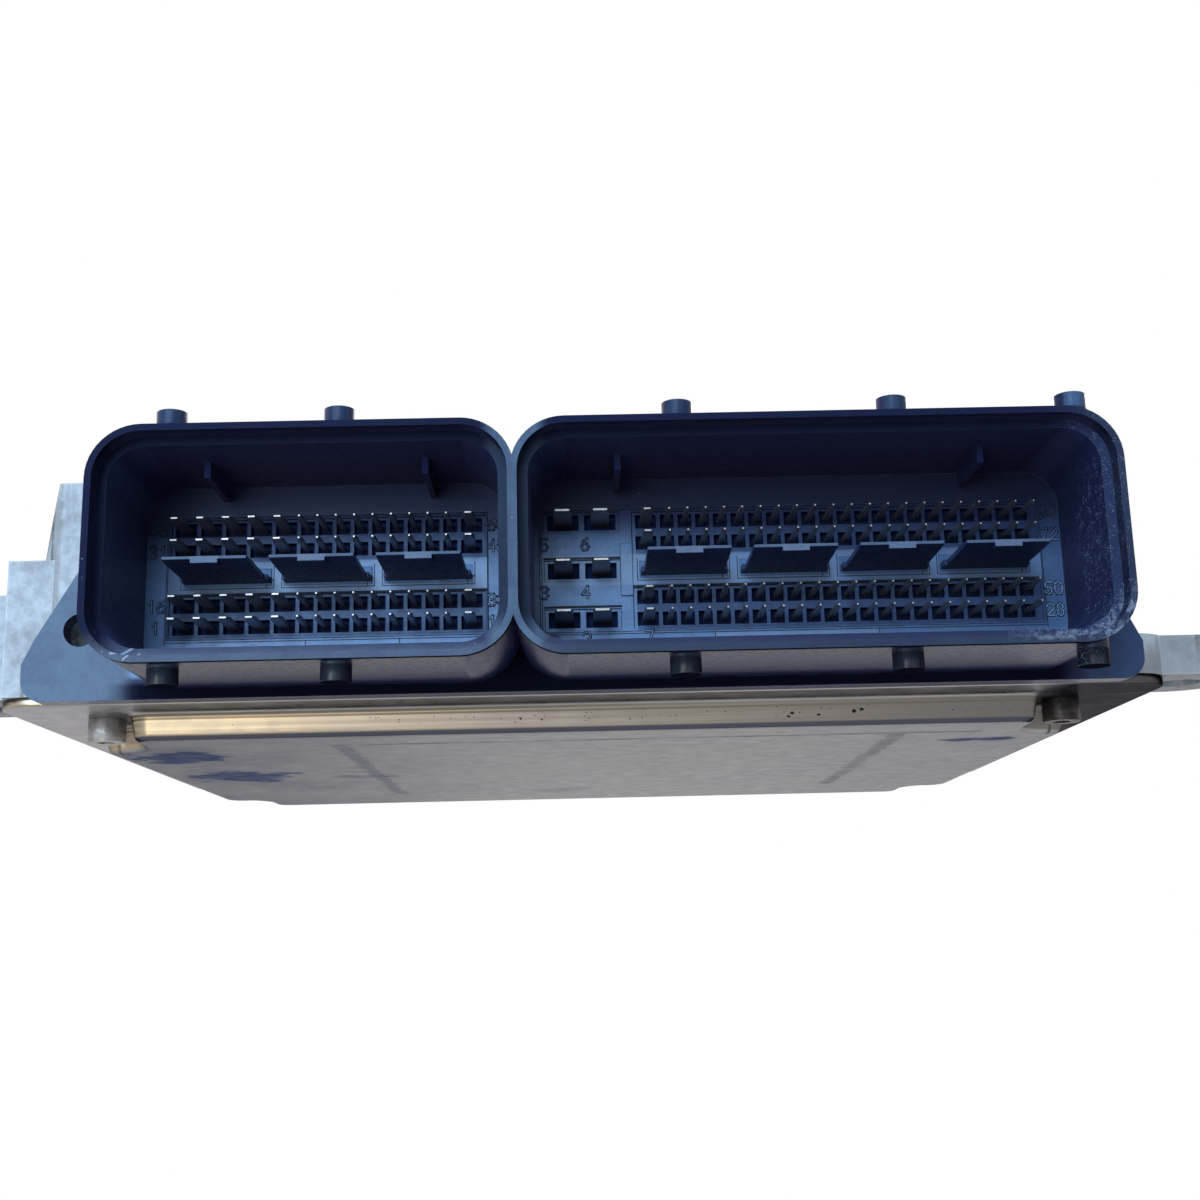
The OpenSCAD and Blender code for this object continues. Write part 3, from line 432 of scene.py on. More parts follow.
# Finishes of the hidden parts: name, two colours, scale, two values of roughness, metal share, nodes
HIDDEN_FINISHES = [
    ("seal_rubber", (0.06, 0.065, 0.07), (0.09, 0.095, 0.10), 0.6, 0.6, 0.8, 0.0,
     ["header_seal", "cover_seal"]),
    ("board_laminate", (0.03, 0.17, 0.07), (0.05, 0.24, 0.11), 0.5, 0.35, 0.5, 0.0, ["circuit_board"]),
    ("chip_resin", (0.02, 0.02, 0.024), (0.035, 0.035, 0.04), 0.9, 0.45, 0.65, 0.0,
     ["microcontroller", "flash_memory", "power_supply_ic", "driver_ics", "bus_transceivers",
      "switching_transistors", "pressure_sensor"]),
    ("can_aluminium", (0.55, 0.57, 0.60), (0.66, 0.68, 0.70), 0.4, 0.25, 0.4, 1.0, ["boost_capacitors"]),
    ("ferrite", (0.05, 0.05, 0.053), (0.08, 0.08, 0.084), 0.8, 0.5, 0.7, 0.0, ["power_inductor"]),
    ("crystal_can", (0.62, 0.63, 0.64), (0.72, 0.73, 0.74), 0.6, 0.22, 0.36, 1.0, ["crystal"]),
    ("ceramic", (0.40, 0.29, 0.18), (0.48, 0.37, 0.25), 1.2, 0.35, 0.5, 0.0, ["ceramic_capacitors"]),
    ("thermal_pad", (0.32, 0.40, 0.48), (0.38, 0.45, 0.53), 0.7, 0.7, 0.85, 0.0, ["thermal_pads"]),
    ("vent_plastic", (0.016, 0.016, 0.018), (0.03, 0.03, 0.033), 0.8, 0.4, 0.6, 0.0, ["vent_cap"]),
]


class Paint:
    """A material under construction, with short calls for the nodes that it uses."""

    def __init__(self, name, zones=None, **values):
        self.zones = zones
        self.material = bpy.data.materials.new(name)
        self.material.use_nodes = True
        self.tree = self.material.node_tree
        self.bsdf = self.tree.nodes["Principled BSDF"]
        for key, value in values.items():
            self.bsdf.inputs[key.replace("_", " ")].default_value = value
        coord = self.node("TexCoord")
        scale = self.node("Mapping", Scale=(1 / MM, 1 / MM, 1 / MM))
        self.join(coord.outputs["Object"], scale.inputs["Vector"])
        self.place = scale.outputs["Vector"]
        self.axes = None
        self.normals = None

    def node(self, kind, **values):
        """New node, with values for its inputs."""
        node = self.tree.nodes.new("ShaderNode" + kind)
        for key, value in values.items():
            node.inputs[key.replace("_", " ")].default_value = value
        return node

    def join(self, source, target):
        self.tree.links.new(source, target)

    def put(self, value, target):
        """Feeds an input from a socket, a zone's name, a colour or a number."""
        if isinstance(value, str):
            value = self.zone(value)
        if isinstance(value, bpy.types.NodeSocket):
            self.join(value, target)
        elif isinstance(value, tuple) and target.type == "RGBA":
            target.default_value = (*value, 1.0)
        else:
            target.default_value = value

    def stretched(self, stretch):
        mapping = self.node("Mapping", Scale=stretch)
        self.join(self.place, mapping.inputs["Vector"])
        return mapping.outputs["Vector"]

    def noise(self, scale, detail=3.0, roughness=0.55, stretch=None):
        node = self.node("TexNoise", Scale=scale, Detail=detail, Roughness=roughness)
        self.join(self.stretched(stretch) if stretch else self.place, node.inputs["Vector"])
        return node.outputs["Fac"]

    def cells(self, scale):
        node = self.node("TexVoronoi", Scale=scale)
        self.join(self.place, node.inputs["Vector"])
        return node.outputs["Distance"]

    def axis(self, name):
        """Place along X, Y or Z in millimetres."""
        if self.axes is None:
            self.axes = self.node("SeparateXYZ")
            self.join(self.place, self.axes.inputs["Vector"])
        return self.axes.outputs[name]

    def facing(self, name):
        """X, Y or Z of the direction that the surface faces."""
        if self.normals is None:
            geometry = self.node("NewGeometry")
            self.normals = self.node("SeparateXYZ")
            self.join(geometry.outputs["Normal"], self.normals.inputs["Vector"])
        return self.normals.outputs[name]

    def span(self, value, low, high, to_low=0.0, to_high=1.0):
        """Smooth run from one value to another between two limits."""
        node = self.node("MapRange", From_Min=low, From_Max=high, To_Min=to_low, To_Max=to_high)
        node.interpolation_type = "SMOOTHSTEP"
        self.put(value, node.inputs["Value"])
        return node.outputs["Result"]

    def band(self, value, middle, half, soft):
        """1 within a half width of a middle, 0 past a soft border."""
        away = self.math("ABSOLUTE", self.math("SUBTRACT", value, middle))
        return self.span(away, half + soft, half)

    def zone(self, name):
        """Span along an axis, or a strip across it, from the material's zones."""
        axis, *numbers = self.zones[name]
        shape = self.band if name.endswith("strip") else self.span
        return shape(self.axis(axis), *numbers)

    def faces(self, axis, limits):
        """1 where the surface faces along an axis, past two limits."""
        return self.span(self.facing(axis), *limits)

    def uneven(self, low, high, scale, detail=3.0, roughness=0.55):
        """Noise that runs from a low to a high value."""
        return self.span(self.noise(scale, detail, roughness), *NOISE_RANGE, low, high)

    def math(self, operation, first, second=0.0):
        node = self.node("Math")
        node.operation = operation
        self.put(first, node.inputs[0])
        self.put(second, node.inputs[1])
        return node.outputs["Value"]

    def plus(self, first, second):
        return self.math("ADD", first, second)

    def outside(self, mask):
        """1 where a mask is 0, and the other way round."""
        return self.math("SUBTRACT", 1.0, mask)

    def times(self, *factors):
        product = factors[0]
        for factor in factors[1:]:
            product = self.math("MULTIPLY", product, factor)
        return product

    def most(self, *values):
        largest = values[0]
        for value in values[1:]:
            largest = self.math("MAXIMUM", largest, value)
        return largest

    def mix(self, factor, first, second):
        node = self.node("Mix")
        node.data_type = "RGBA"
        sockets = {socket.identifier: socket for socket in node.inputs}
        self.put(factor, sockets["Factor_Float"])
        self.put(first, sockets["A_Color"])
        self.put(second, sockets["B_Color"])
        return next(socket for socket in node.outputs if socket.identifier == "Result_Color")

    def edges(self, radius):
        """1 near an edge, 0 on a flat: how far a bevelled normal turns from the true one."""
        flat_turn, edge_turn = 0.98, 0.75
        geometry = self.node("NewGeometry")
        bevel = self.node("Bevel", Radius=radius * MM)
        bevel.samples = 4
        dot = self.node("VectorMath")
        dot.operation = "DOT_PRODUCT"
        self.join(geometry.outputs["True Normal"], dot.inputs[0])
        self.join(bevel.outputs["Normal"], dot.inputs[1])
        return self.span(dot.outputs["Value"], flat_turn, edge_turn)

    def bump(self, height, distance):
        node = self.node("Bump", Distance=distance * MM, Strength=1.0)
        self.join(height, node.inputs["Height"])
        self.join(node.outputs["Normal"], self.bsdf.inputs["Normal"])

    def done(self, color, roughness, gloss=None, edge_tint=None):
        if gloss is not None:
            self.put(gloss, self.bsdf.inputs["Specular IOR Level"])
        if edge_tint is not None:
            self.put(edge_tint, self.bsdf.inputs["Specular Tint"])
        self.put(color, self.bsdf.inputs["Base Color"])
        self.put(roughness, self.bsdf.inputs["Roughness"])
        return self.material


def specks(paint, scale, size, cover):
    """Scattered small specks, thinned out by a slow noise."""
    dots = paint.span(paint.cells(scale), size, size * 0.5)
    patches = paint.span(paint.noise(0.11, 2.0), 1.0 - cover, 1.0 - cover * 0.6)
    return paint.times(dots, patches)


def plastic_finish(paint, inner, pale_light, haze):
    """Satin black plastic, lighter inside the sockets as painted fill light, then painted pale light, painted
    blue sky light and scattered pale specks.
    """
    cloud = paint.times(paint.uneven(0.8, 1.1, 0.25, 4.0), paint.uneven(0.86, 1.08, 2.6, 3.0, 0.7))
    color = paint.mix(inner, PLASTIC, INNER_LIT_PLASTIC)
    color = paint.mix(paint.times(haze, cloud), color, PAINTED_SKY_LIGHT)
    color = paint.mix(paint.times(pale_light, cloud), color, DUST_AND_PAINTED_LIGHT)
    return paint.mix(paint.times(specks(paint, 0.8, 0.13, 0.45), 0.6), color, PALE_DUST_AND_PAINTED_LIGHT)


def plastic_skin(paint):
    """Fine grain of the moulded plastic, and its uneven roughness."""
    paint.bump(paint.noise(1.4, 3.0), 0.003)
    return paint.uneven(0.30, 0.42, 1.2)


def scratch(paint, start, end):
    """Pale line on the rim between two places in X and Z."""
    slope = (end[1] - start[1]) / (end[0] - start[0])
    height = paint.math("SUBTRACT", paint.axis("Z"), paint.times(paint.axis("X"), slope))
    middle = (start[0] + end[0]) / 2
    along = paint.band(paint.axis("X"), middle, abs(end[0] - start[0]) / 2, SCRATCH_END)
    across = paint.band(height, start[1] - slope * start[0], SCRATCH_HALF, SCRATCH_SOFT)
    return paint.times(across, along)


def header_masks(paint):
    """Where each surface of the header is, by its place and by the way that it faces."""
    at = SimpleNamespace()
    at.front = paint.faces("Y", TO_FRONT)
    at.up = paint.faces("Z", TO_TOP)
    at.down = paint.faces("Z", TO_BOTTOM)
    at.not_down = paint.outside(at.down)
    to_left = paint.faces("X", TO_LEFT)
    to_right = paint.faces("X", TO_RIGHT)
    deep = paint.zone("deep")
    at.mouth = paint.times(at.front, "mouth")
    left_end = paint.zone("left_end")
    right_end = paint.zone("right_end")
    inside = paint.outside(paint.most(left_end, right_end))

    low = paint.plus("plate_sky_light", "plate_foot")
    across = paint.times("plate_to_right", "plate_from_left")
    at.plate = paint.times(at.front, deep, inside, low, across, "plate_edge")
    at.plate_top = paint.times(at.front, deep, inside, "plate_top")
    at.left_flange = paint.times(at.front, deep, left_end)
    at.right_flange = paint.times(at.front, deep, right_end, 0.22)
    at.top_pegs = paint.times("top_peg_height", "top_peg_depth")
    at.low_pegs = paint.times("low_peg_height", "low_peg_depth")
    at.pegs = paint.most(at.top_pegs, at.low_pegs)

    at.floor = paint.times(at.up, "floor_height", "floor_to_right")
    at.ceiling = paint.times(at.down, "ceiling")
    at.right_wall = paint.times(to_left, "right_wall")
    left_walls = paint.most("left_wall_60_strip", "left_wall_94_strip")
    at.left_wall = paint.times(to_right, left_walls, "left_wall_depth")
    low_lip = paint.times("low_lip_height", "low_lip_to_right")
    divider_lip = paint.times("divider_strip", 0.8)
    at.lip = paint.times(at.mouth, paint.most(low_lip, "right_lip", divider_lip))
    at.ledge = paint.times(at.mouth, "ledge_depth", "ledge_height",
                           "ledge_to_right")
    at.lower_edge = paint.times(paint.faces("Z", LOWER_EDGE_FACING), "lower_edge")

    below = paint.times(at.front, deep, "under_height", "under_left",
                        "under_right")
    between = paint.times(at.front, deep, "gap_strip", "gap_height")
    at.under_flange = paint.most(below, between)
    outer_top = paint.times(at.up, "outer_top")
    outer_sides = paint.most(paint.times(to_left, "outer_left"),
                             paint.times(to_right, "outer_right"))
    at.outer = paint.most(outer_top, outer_sides)
    at.corner = paint.times("corner_across", "corner_height",
                            "corner_bottom", "corner_depth", at.not_down)
    return at


def header_base(paint, at):
    """Colour of the header's plastic with its painted pale and blue light, painted shade, and walls and
    ceilings painted lighter.
    """
    # Painted pale light on the left of the flange, on the floors of the sockets and on the rims
    pale_light = paint.most(at.left_flange, at.floor, at.lip)
    # Painted blue sky light on the plates, the right flange and the fronts of the top pegs
    haze = paint.most(at.plate, at.right_flange, paint.times(at.top_pegs, at.front, 0.3))
    color = plastic_finish(paint, "inner", pale_light, haze)
    # Painted shade on the ledge, the tops of the plates, under the shrouds and between them, the lower edge
    # and the right walls
    top_shade = paint.times(at.plate_top, "plate_top_shade")
    shade = paint.most(paint.times(at.ledge, 0.7), top_shade, at.under_flange, at.lower_edge,
                       paint.times(at.right_wall, 0.35))
    color = paint.mix(shade, color, SHADE_PLASTIC)
    # Painted light on the walls that face right
    color = paint.mix(paint.times(at.left_wall, 0.7), color, LIT_WALL_PLASTIC)
    color = paint.mix(paint.most(at.outer, paint.times(at.low_pegs, 0.85)), color, OUTER_PLASTIC)
    # Painted light on the ceilings
    color = paint.mix(paint.times(at.ceiling, 0.6), color, LIT_CEILING_PLASTIC)
    pale_strip = paint.times(at.plate, "pale_across_strip", "pale_height_strip")
    return paint.mix(paint.times(pale_strip, 0.3), color, PALE_DUST_AND_PAINTED_LIGHT)


def header_wear(paint, at, color):
    """Grit on the right inner wall, a smear in its corner, scratches of the rim and dusty edges."""
    on_wall = paint.times(at.right_wall, "grit_depth", "grit_height")
    on_rim = paint.times(at.mouth, "grit_rim", 0.5)
    grains = paint.span(paint.cells(4.2), 0.34, 0.16)
    patches = paint.span(paint.noise(0.7, 4.0, 0.7), 0.44, 0.62)
    grit = paint.times(grains, patches, paint.most(on_wall, on_rim, at.corner))
    color = paint.mix(paint.times(grit, 0.85), color, PALE_DUST_AND_PAINTED_LIGHT)
    wiped = paint.span(paint.noise(0.9, 4.0, 0.7), 0.42, 0.7)
    smear = paint.times(at.corner, paint.most(at.mouth, at.up), wiped, 0.42)
    color = paint.mix(smear, color, PALE_DUST_AND_PAINTED_LIGHT)
    scratches = paint.most(*(scratch(paint, start, end) for start, end in RIM_SCRATCHES))
    color = paint.mix(paint.times(scratches, at.mouth, 0.55), color, PALE_DUST_AND_PAINTED_LIGHT)
    share = paint.math("SUBTRACT", 0.35, paint.times(at.mouth, 0.3))
    rubbed = paint.span(paint.noise(0.3, 3.0), 0.4, 0.65, 0.1, 1.0)
    return paint.mix(paint.times(paint.edges(0.35), rubbed, share), color, DUST_AND_PAINTED_LIGHT)


def header_gloss(paint, at):
    """Gloss of the header: a sheen on plates and undersides, dull walls and rims, glints on the pegs."""
    under = paint.times(at.down, "under_sheen_height", "under_sheen_to_right")
    sheen = paint.plus(paint.plus(paint.times(at.plate, 0.25), 0.13), under)
    dull_lip = paint.times(at.mouth, "dull_lip_height", "dull_lip_to_right")
    rib_fronts = paint.times(at.front, "rib_front", "rib_rear")
    dull = paint.most(dull_lip, at.under_flange, rib_fronts, at.lower_edge, paint.times(at.pegs, at.down),
                      paint.times(at.right_wall, 0.5), paint.times(at.low_pegs, 0.9))
    sheen = paint.times(sheen, paint.outside(dull))
    glint = paint.times(paint.band(paint.facing("X"), *GLINT_FACING), at.not_down)
    sheen = paint.plus(sheen, paint.times(at.top_pegs, glint, 0.08))
    return paint.plus(sheen, paint.times(at.low_pegs, glint, "low_peg_strip", 0.22))


def header_plastic():
    """Header: painted light on the flange, floors and plates, painted shade on the right walls and under the
    shrouds, dark pegs, a gritty corner, a scuffed rim.
    """
    paint = Paint("header_plastic", HEADER_ZONES)
    at = header_masks(paint)
    color = header_wear(paint, at, header_base(paint, at))
    roughness = paint.math("SUBTRACT", plastic_skin(paint), paint.times(at.pegs, 0.18))
    return paint.done(color, roughness, gloss=header_gloss(paint, at))


def carrier_plastic():
    """Pin carriers: a painted blue sky light that thickens toward the floor of the sockets, paler between the
    rows, and dark pits.
    """
    paint = Paint("carrier_plastic", CARRIER_ZONES)
    rows = paint.most("upper_rows_strip", "lower_rows_strip")
    thin = paint.outside(paint.times(rows, paint.outside("supply_strip"), 0.55))
    shallow = paint.zone("shallow")
    # Painted sky light: stronger low down, thinner on the pin rows, weaker at both ends
    haze = paint.times(paint.faces("Y", TO_FRONT), "haze", thin, "from_left",
                       "to_right", shallow)
    color = plastic_finish(paint, 1.0, 0.0, haze)
    # Painted light: paler where the sky light falls between the pin rows
    color = paint.mix(paint.times(haze, paint.outside(rows), 0.25), color, PALE_DUST_AND_PAINTED_LIGHT)
    color = paint.mix(shallow, PIT_PLASTIC, color)
    worn = paint.times(paint.edges(0.15), "worn", shallow)
    color = paint.mix(worn, color, DUST_AND_PAINTED_LIGHT)
    gloss = paint.plus(paint.times(haze, 0.3), paint.times(shallow, 0.08))
    return paint.done(color, plastic_skin(paint), gloss=gloss)


def guide_plastic(name, first_x):
    """Guide blades: dark faces, painted sky light on the feet, a painted pale light on the front edge and a
    brighter painted reflection on a tab in its middle.
    """
    paint = Paint(name, GUIDE_ZONES, Specular_IOR_Level=LOW_GLOSS)
    front = paint.faces("Y", TO_NOSE)
    nose = paint.times(front, "nose")
    along = paint.math("SUBTRACT", paint.axis("X"), first_x - GUIDE_PITCH / 2)
    turn = paint.math("FRACT", paint.math("DIVIDE", along, GUIDE_PITCH))
    tab = paint.band(turn, 0.5, GUIDE_TAB_HALF / GUIDE_PITCH, 0.02)
    # Painted sky light on the feet of the blades
    foot_sky_light = paint.times(paint.times(front, "foot"), "foot_to_right")
    # Painted pale light on the front edges of the blades
    color = plastic_finish(paint, 1.0, paint.times(nose, 0.7), foot_sky_light)
    # Painted reflection: a paler tab in the middle of each front edge
    color = paint.mix(paint.times(nose, tab, 0.09), color, PALE_DUST_AND_PAINTED_LIGHT)
    paint.bump(paint.noise(1.8, 2.0), 0.004)
    return paint.done(color, paint.uneven(0.36, 0.5, 1.4))


def mark_plastic(name):
    """Numbers, their dark outlines, seams and dirt, darker toward the top rows as a painted shade."""
    paint = Paint(name, MARK_ZONES, Specular_IOR_Level=LOW_GLOSS)
    color = paint.mix(paint.span(paint.noise(1.5, 3.0), 0.35, 0.7), *MARK_COLORS[name])
    # Painted shade: darker toward the top rows
    color = paint.mix("top_rows", color, PLASTIC)
    return paint.done(color, paint.uneven(0.4, 0.55, 2.0, 2.0))


def cast_metal():
    """As-cast aluminium: grainy skin, grey stains and bright rubbed edges."""
    paint = Paint("cast_aluminium", Metallic=0.45)
    stain = paint.span(paint.noise(0.09, 5.0, 0.65), 0.45, 0.72)
    color = paint.mix(stain, CAST_GREY, CAST_STAIN)
    color = paint.mix(paint.span(paint.noise(1.2, 3.0), 0.55, 0.8, 0.0, 0.5), color, CAST_PALE)
    color = paint.mix(paint.times(paint.edges(0.8), 0.5), color, CAST_EDGE)
    paint.bump(paint.noise(1.6, 4.0, 0.6), 0.08)
    return paint.done(color, paint.uneven(0.55, 0.7, 0.8))


def blot(paint, at, half, ragged, low, high):
    """Ragged patch round a place of the flat."""
    across = paint.math("DIVIDE", paint.math("SUBTRACT", paint.axis("X"), at[0]), half[0])
    along = paint.math("DIVIDE", paint.math("SUBTRACT", paint.axis("Y"), at[1]), half[1])
    away = paint.math("SQRT", paint.plus(paint.times(across, across), paint.times(along, along)))
    return paint.span(paint.plus(away, ragged), high, low)


def sheet_masks(paint):
    """Where the cover's streaks, step, folds, lines, darker patches and outline are, with the painted shade
    of the lower fold and the dirt and painted shade of the right corner.
    """
    at = SimpleNamespace()
    at.streaks = paint.noise(1.0, 3.0, 0.5, stretch=STREAK_STRETCH)
    at.cloud = paint.noise(0.05, 4.0, 0.6)
    at.step = paint.faces("Z", STEP_FACING)
    # Lower fold, which takes a painted shade
    at.low_fold = paint.times(paint.faces("Z", FOLD_START_FACING), paint.faces("Z", FOLD_END_FACING),
                              "low_fold_height", "low_fold_depth")
    step_line = paint.times("step_line_strip", at.step, "step_line_to_left")
    fold_line = paint.times("fold_line_strip", "fold_line_to_left")
    at.lines = paint.most(step_line, fold_line)

    on_flat = paint.zone("flat")
    ragged = paint.span(paint.noise(0.16, 4.0, 0.65), 0.2, 0.8, -0.6, 0.6)
    blots = [paint.times(blot(paint, middle, half, ragged, low, high), share)
             for middle, half, low, high, share in DARK_PATCHES]
    at.smudge = paint.times(paint.most(*blots), on_flat, 0.9)
    waver = paint.uneven(-0.5, 0.5, 0.5)
    front_y = paint.plus(paint.axis("Y"), paint.times(waver, 0.5))
    front_line = paint.times(paint.band(front_y, *FRONT_LINE), "front_line_strip")
    side_x = paint.plus(paint.axis("X"), waver)
    side_lines = paint.times(paint.band(side_x, "side_line_x", *SIDE_LINE),
                             "side_line_strip")
    at.outline = paint.times(paint.most(front_line, paint.times(side_lines, 0.8)), on_flat,
                             paint.span(at.cloud, 0.3, 0.6, 0.35, 0.75))
    at.flange = paint.zone("flange")
    # Right corner of the flange, with dirt and painted shade
    at.grime = paint.times(at.flange, "grime")
    return at


def sheet_color(paint, at):
    """Colour of the cover: a clouded flat and a streaky step with a painted warm reflection that dulls to the
    right, painted shade in the lower fold, darker patches and stains.
    """
    tone = SHEET_COLORS
    flat = paint.mix(paint.span(at.cloud, 0.35, 0.65), tone["flat"], tone["flat_pale"])
    rolled = paint.span(paint.noise(0.4, 3.0, 0.5, stretch=ROLLED_STRETCH), 0.5, 0.75, 0.0, 0.3)
    flat = paint.mix(rolled, flat, tone["flat_dark"])
    # Painted warm reflection on the step, golden on the left and greyer to the right
    warm = paint.mix("warm_reflection_to_middle", tone["warm_reflection_left"], tone["warm_reflection_middle"])
    warm = paint.mix("warm_reflection_to_right", warm, tone["warm_reflection_right"])
    warm = paint.mix(paint.span(at.streaks, 0.42, 0.62, 0.0, 0.45), warm, tone["streak"])
    color = paint.mix(at.step, flat, warm)
    # Painted shade in the lower fold
    color = paint.mix(paint.times(at.low_fold, 0.9), color, tone["low_fold"])
    color = paint.mix(at.lines, color, tone["line"])
    color = paint.mix(at.smudge, color, tone["smudge"])
    color = paint.mix(at.outline, color, tone["outline"])
    color = paint.mix(paint.times(specks(paint, 0.35, 0.10, 0.4), 0.8), color, tone["speck"])
    # Dirt and painted shade at the right corner of the flange
    return paint.mix(paint.times(at.grime, 0.8), color, tone["grime"])


def sheet_tint_and_shade(paint, at):
    """Tint of the cover's reflection at low angles, with painted shade on the left of the flat, painted light
    on the left of the flange, and the same marks.
    """
    tone = SHEET_TINTS_AND_SHADE
    # Painted shade on the left of the flat, painted light on the left of the flange
    tint = paint.mix("tint_to_middle", tone["left"], tone["middle"])
    tint = paint.mix("tint_to_right", tint, tone["right"])
    tint = paint.mix(paint.span(at.cloud, 0.35, 0.65, 0.0, 0.3), tint, tone["cloud"])
    flange = paint.mix("flange_tint", tone["flange_left"], tone["flange"])
    tint = paint.mix(paint.times(at.flange, 0.8), tint, flange)
    tint = paint.mix(paint.times(at.lines, 0.8), tint, tone["line"])
    tint = paint.mix(at.smudge, tint, tone["smudge"])
    tint = paint.mix(paint.times(at.outline, 0.8), tint, tone["outline"])
    tint = paint.mix(paint.times(at.low_fold, 0.9), tint, tone["low_fold"])
    return paint.mix(paint.times(at.grime, 0.85), tint, tone["grime"])


def sheet_metal():
    """Pressed sheet: drawing streaks, a step with a painted warm reflection, dark folds with painted shade in
    the lower one, darker patches and a faint outline.
    """
    paint = Paint("cover_sheet_metal", SHEET_ZONES, Metallic=1.0)
    at = sheet_masks(paint)
    paint.bump(at.streaks, 0.006)
    roughness = paint.uneven(0.27, 0.38, 0.3, 4.0)
    return paint.done(sheet_color(paint, at), roughness, edge_tint=sheet_tint_and_shade(paint, at))


def pin_metal(name, tip):
    """Tinned pins gone dull: dark sides, and end faces painted brighter as a highlight, more so toward the
    left.
    """
    paint = Paint(name, PIN_ZONES, Metallic=1.0)
    side = paint.mix(paint.noise(0.5, 2.0), PIN_SIDE_DARK, PIN_SIDE_PALE)
    # End faces painted brighter as a highlight, less so on the right
    end = paint.mix("to_right", tip, tuple(RIGHT_HIGHLIGHT_SHARE * c for c in tip))
    color = paint.mix(paint.faces("Y", TO_TIP), side, end)
    return paint.done(color, paint.uneven(0.42, 0.52, 0.8, 2.0))


def plated_screw():
    """Plated screw heads, pale on the left and dark brown on the right."""
    paint = Paint("plated_screw", SCREW_ZONES, Metallic=0.8)
    blotch = paint.span(paint.noise(0.8, 4.0), 0.4, 0.7)
    pale = paint.mix(blotch, *SCREW_PALE)
    browned = paint.mix(blotch, *SCREW_BROWN)
    color = paint.mix("to_right", pale, browned)
    paint.bump(paint.noise(2.5, 3.0), 0.03)
    return paint.done(color, paint.uneven(0.4, 0.6, 2.0))


def mottled(name, first, second, scale, low, high, metallic):
    """Plain finish of the hidden parts: two tones, uneven gloss and a fine grain."""
    paint = Paint(name, Metallic=metallic)
    color = paint.mix(paint.span(paint.noise(scale, 4.0), 0.4, 0.65), first, second)
    paint.bump(paint.noise(scale * 6.0, 2.0), 0.01)
    return paint.done(color, paint.uneven(low, high, scale * 3.0, 2.0))


def dress(material, *names):
    """Gives a material to every slot of the named nodes."""
    for name in names:
        mesh = nodes[name].data
        if not mesh.materials:
            mesh.materials.append(material)
        for i in range(len(mesh.materials)):
            mesh.materials[i] = material


def soften(name, width, segments):
    """Rounds the sharp edges of a carried-over node."""
    weld = nodes[name].modifiers.new("weld", "WELD")
    weld.merge_threshold = WELD_REACH * MM
    bevel = nodes[name].modifiers.new("soft_edges", "BEVEL")
    bevel.width = width * MM
    bevel.segments = segments
    bevel.limit_method = "ANGLE"
    bevel.angle_limit = math.radians(SHARP_ANGLE)
    bevel.harden_normals = True
    bevel.use_clamp_overlap = True


def add_piece(name, mesh, material):
    """Puts a new mesh into the scene, on the part's one body."""
    piece = bpy.data.objects.new(name, mesh)
    bpy.context.scene.collection.objects.link(piece)
    mesh.materials.append(material)
    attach(piece, "root")
    return piece


def finished(form, name):
    """Mesh of a form whose faces all turn outward."""
    bmesh.ops.recalc_face_normals(form, faces=form.faces)
    mesh = bpy.data.meshes.new(name)
    form.to_mesh(mesh)
    form.free()
    return mesh


def arc(middle, radius, start, end, outward):
    """Points of an arc, each with the direction that leads out of the flat."""
    points = []
    for i in range(ARC_STEPS + 1):
        turn = math.radians(start + (end - start) * i / ARC_STEPS)
        along = Vector((math.cos(turn), math.sin(turn)))
        points.append((Vector(middle) + radius * along, outward * along))
    return points


def flat_outline():
    """Outline of the cover's flat at its upper edge, all the way round."""
    corner_y = SCREW_AT[1] + NOTCH_R + FLAT_R
    meet = math.degrees(math.acos((SCREW_AT[0] - FLAT_WIDE + FLAT_R) / FLAT_R))
    quarter = arc((FLAT_NARROW - FLAT_R, FLAT_FRONT + FLAT_R), FLAT_R, -90, 0, 1)
    quarter += arc(SCREW_AT, NOTCH_R, 180, 90, -1)
    quarter += arc((FLAT_WIDE - FLAT_R, corner_y), FLAT_R, -meet, 0, 1)
    ends = FLAT_FRONT + FLAT_REAR

    def mirrored(side_x, side_y):
        turned = []
        for point, out in quarter:
            y = point.y if side_y > 0 else ends - point.y
            turned.append((Vector((side_x * point.x, y)), Vector((side_x * out.x, side_y * out.y))))
        return turned if side_x == side_y else turned[::-1]

    return mirrored(1, 1) + mirrored(1, -1) + mirrored(-1, -1) + mirrored(-1, 1)


def fold(before, corner, after):
    """Points of a rounded fold from one tangent point to the other."""
    points = []
    for i in range(FOLD_STEPS + 1):
        t = i / FOLD_STEPS
        first, second, third = (1 - t) ** 2, 2 * t * (1 - t), t * t
        ends = zip(before, corner, after)
        points.append(tuple(first * a + second * b + third * c for a, b, c in ends))
    return points


def fold_profile():
    """Offsets out of the flat and heights, from the cover's flange over the step to the flat."""
    slope = math.hypot(STEP_LEAN, DROP)
    run, fall = STEP_LEAN / slope, DROP / slope
    upper = fold((UPPER_FOLD, DROP), (0.0, DROP), (-UPPER_FOLD * run, DROP - UPPER_FOLD * fall))
    lower_start = (-STEP_LEAN + LOWER_FOLD * run, LOWER_FOLD * fall)
    lower = fold(lower_start, (-STEP_LEAN, 0.0), (-STEP_LEAN - LOWER_FOLD, 0.0))
    on_flange = (UPPER_FOLD + FLANGE_LEAD, DROP)
    on_flat = (-STEP_LEAN - LOWER_FOLD - FLAT_LEAD, 0.0)
    return [on_flange] + upper + lower + [on_flat]


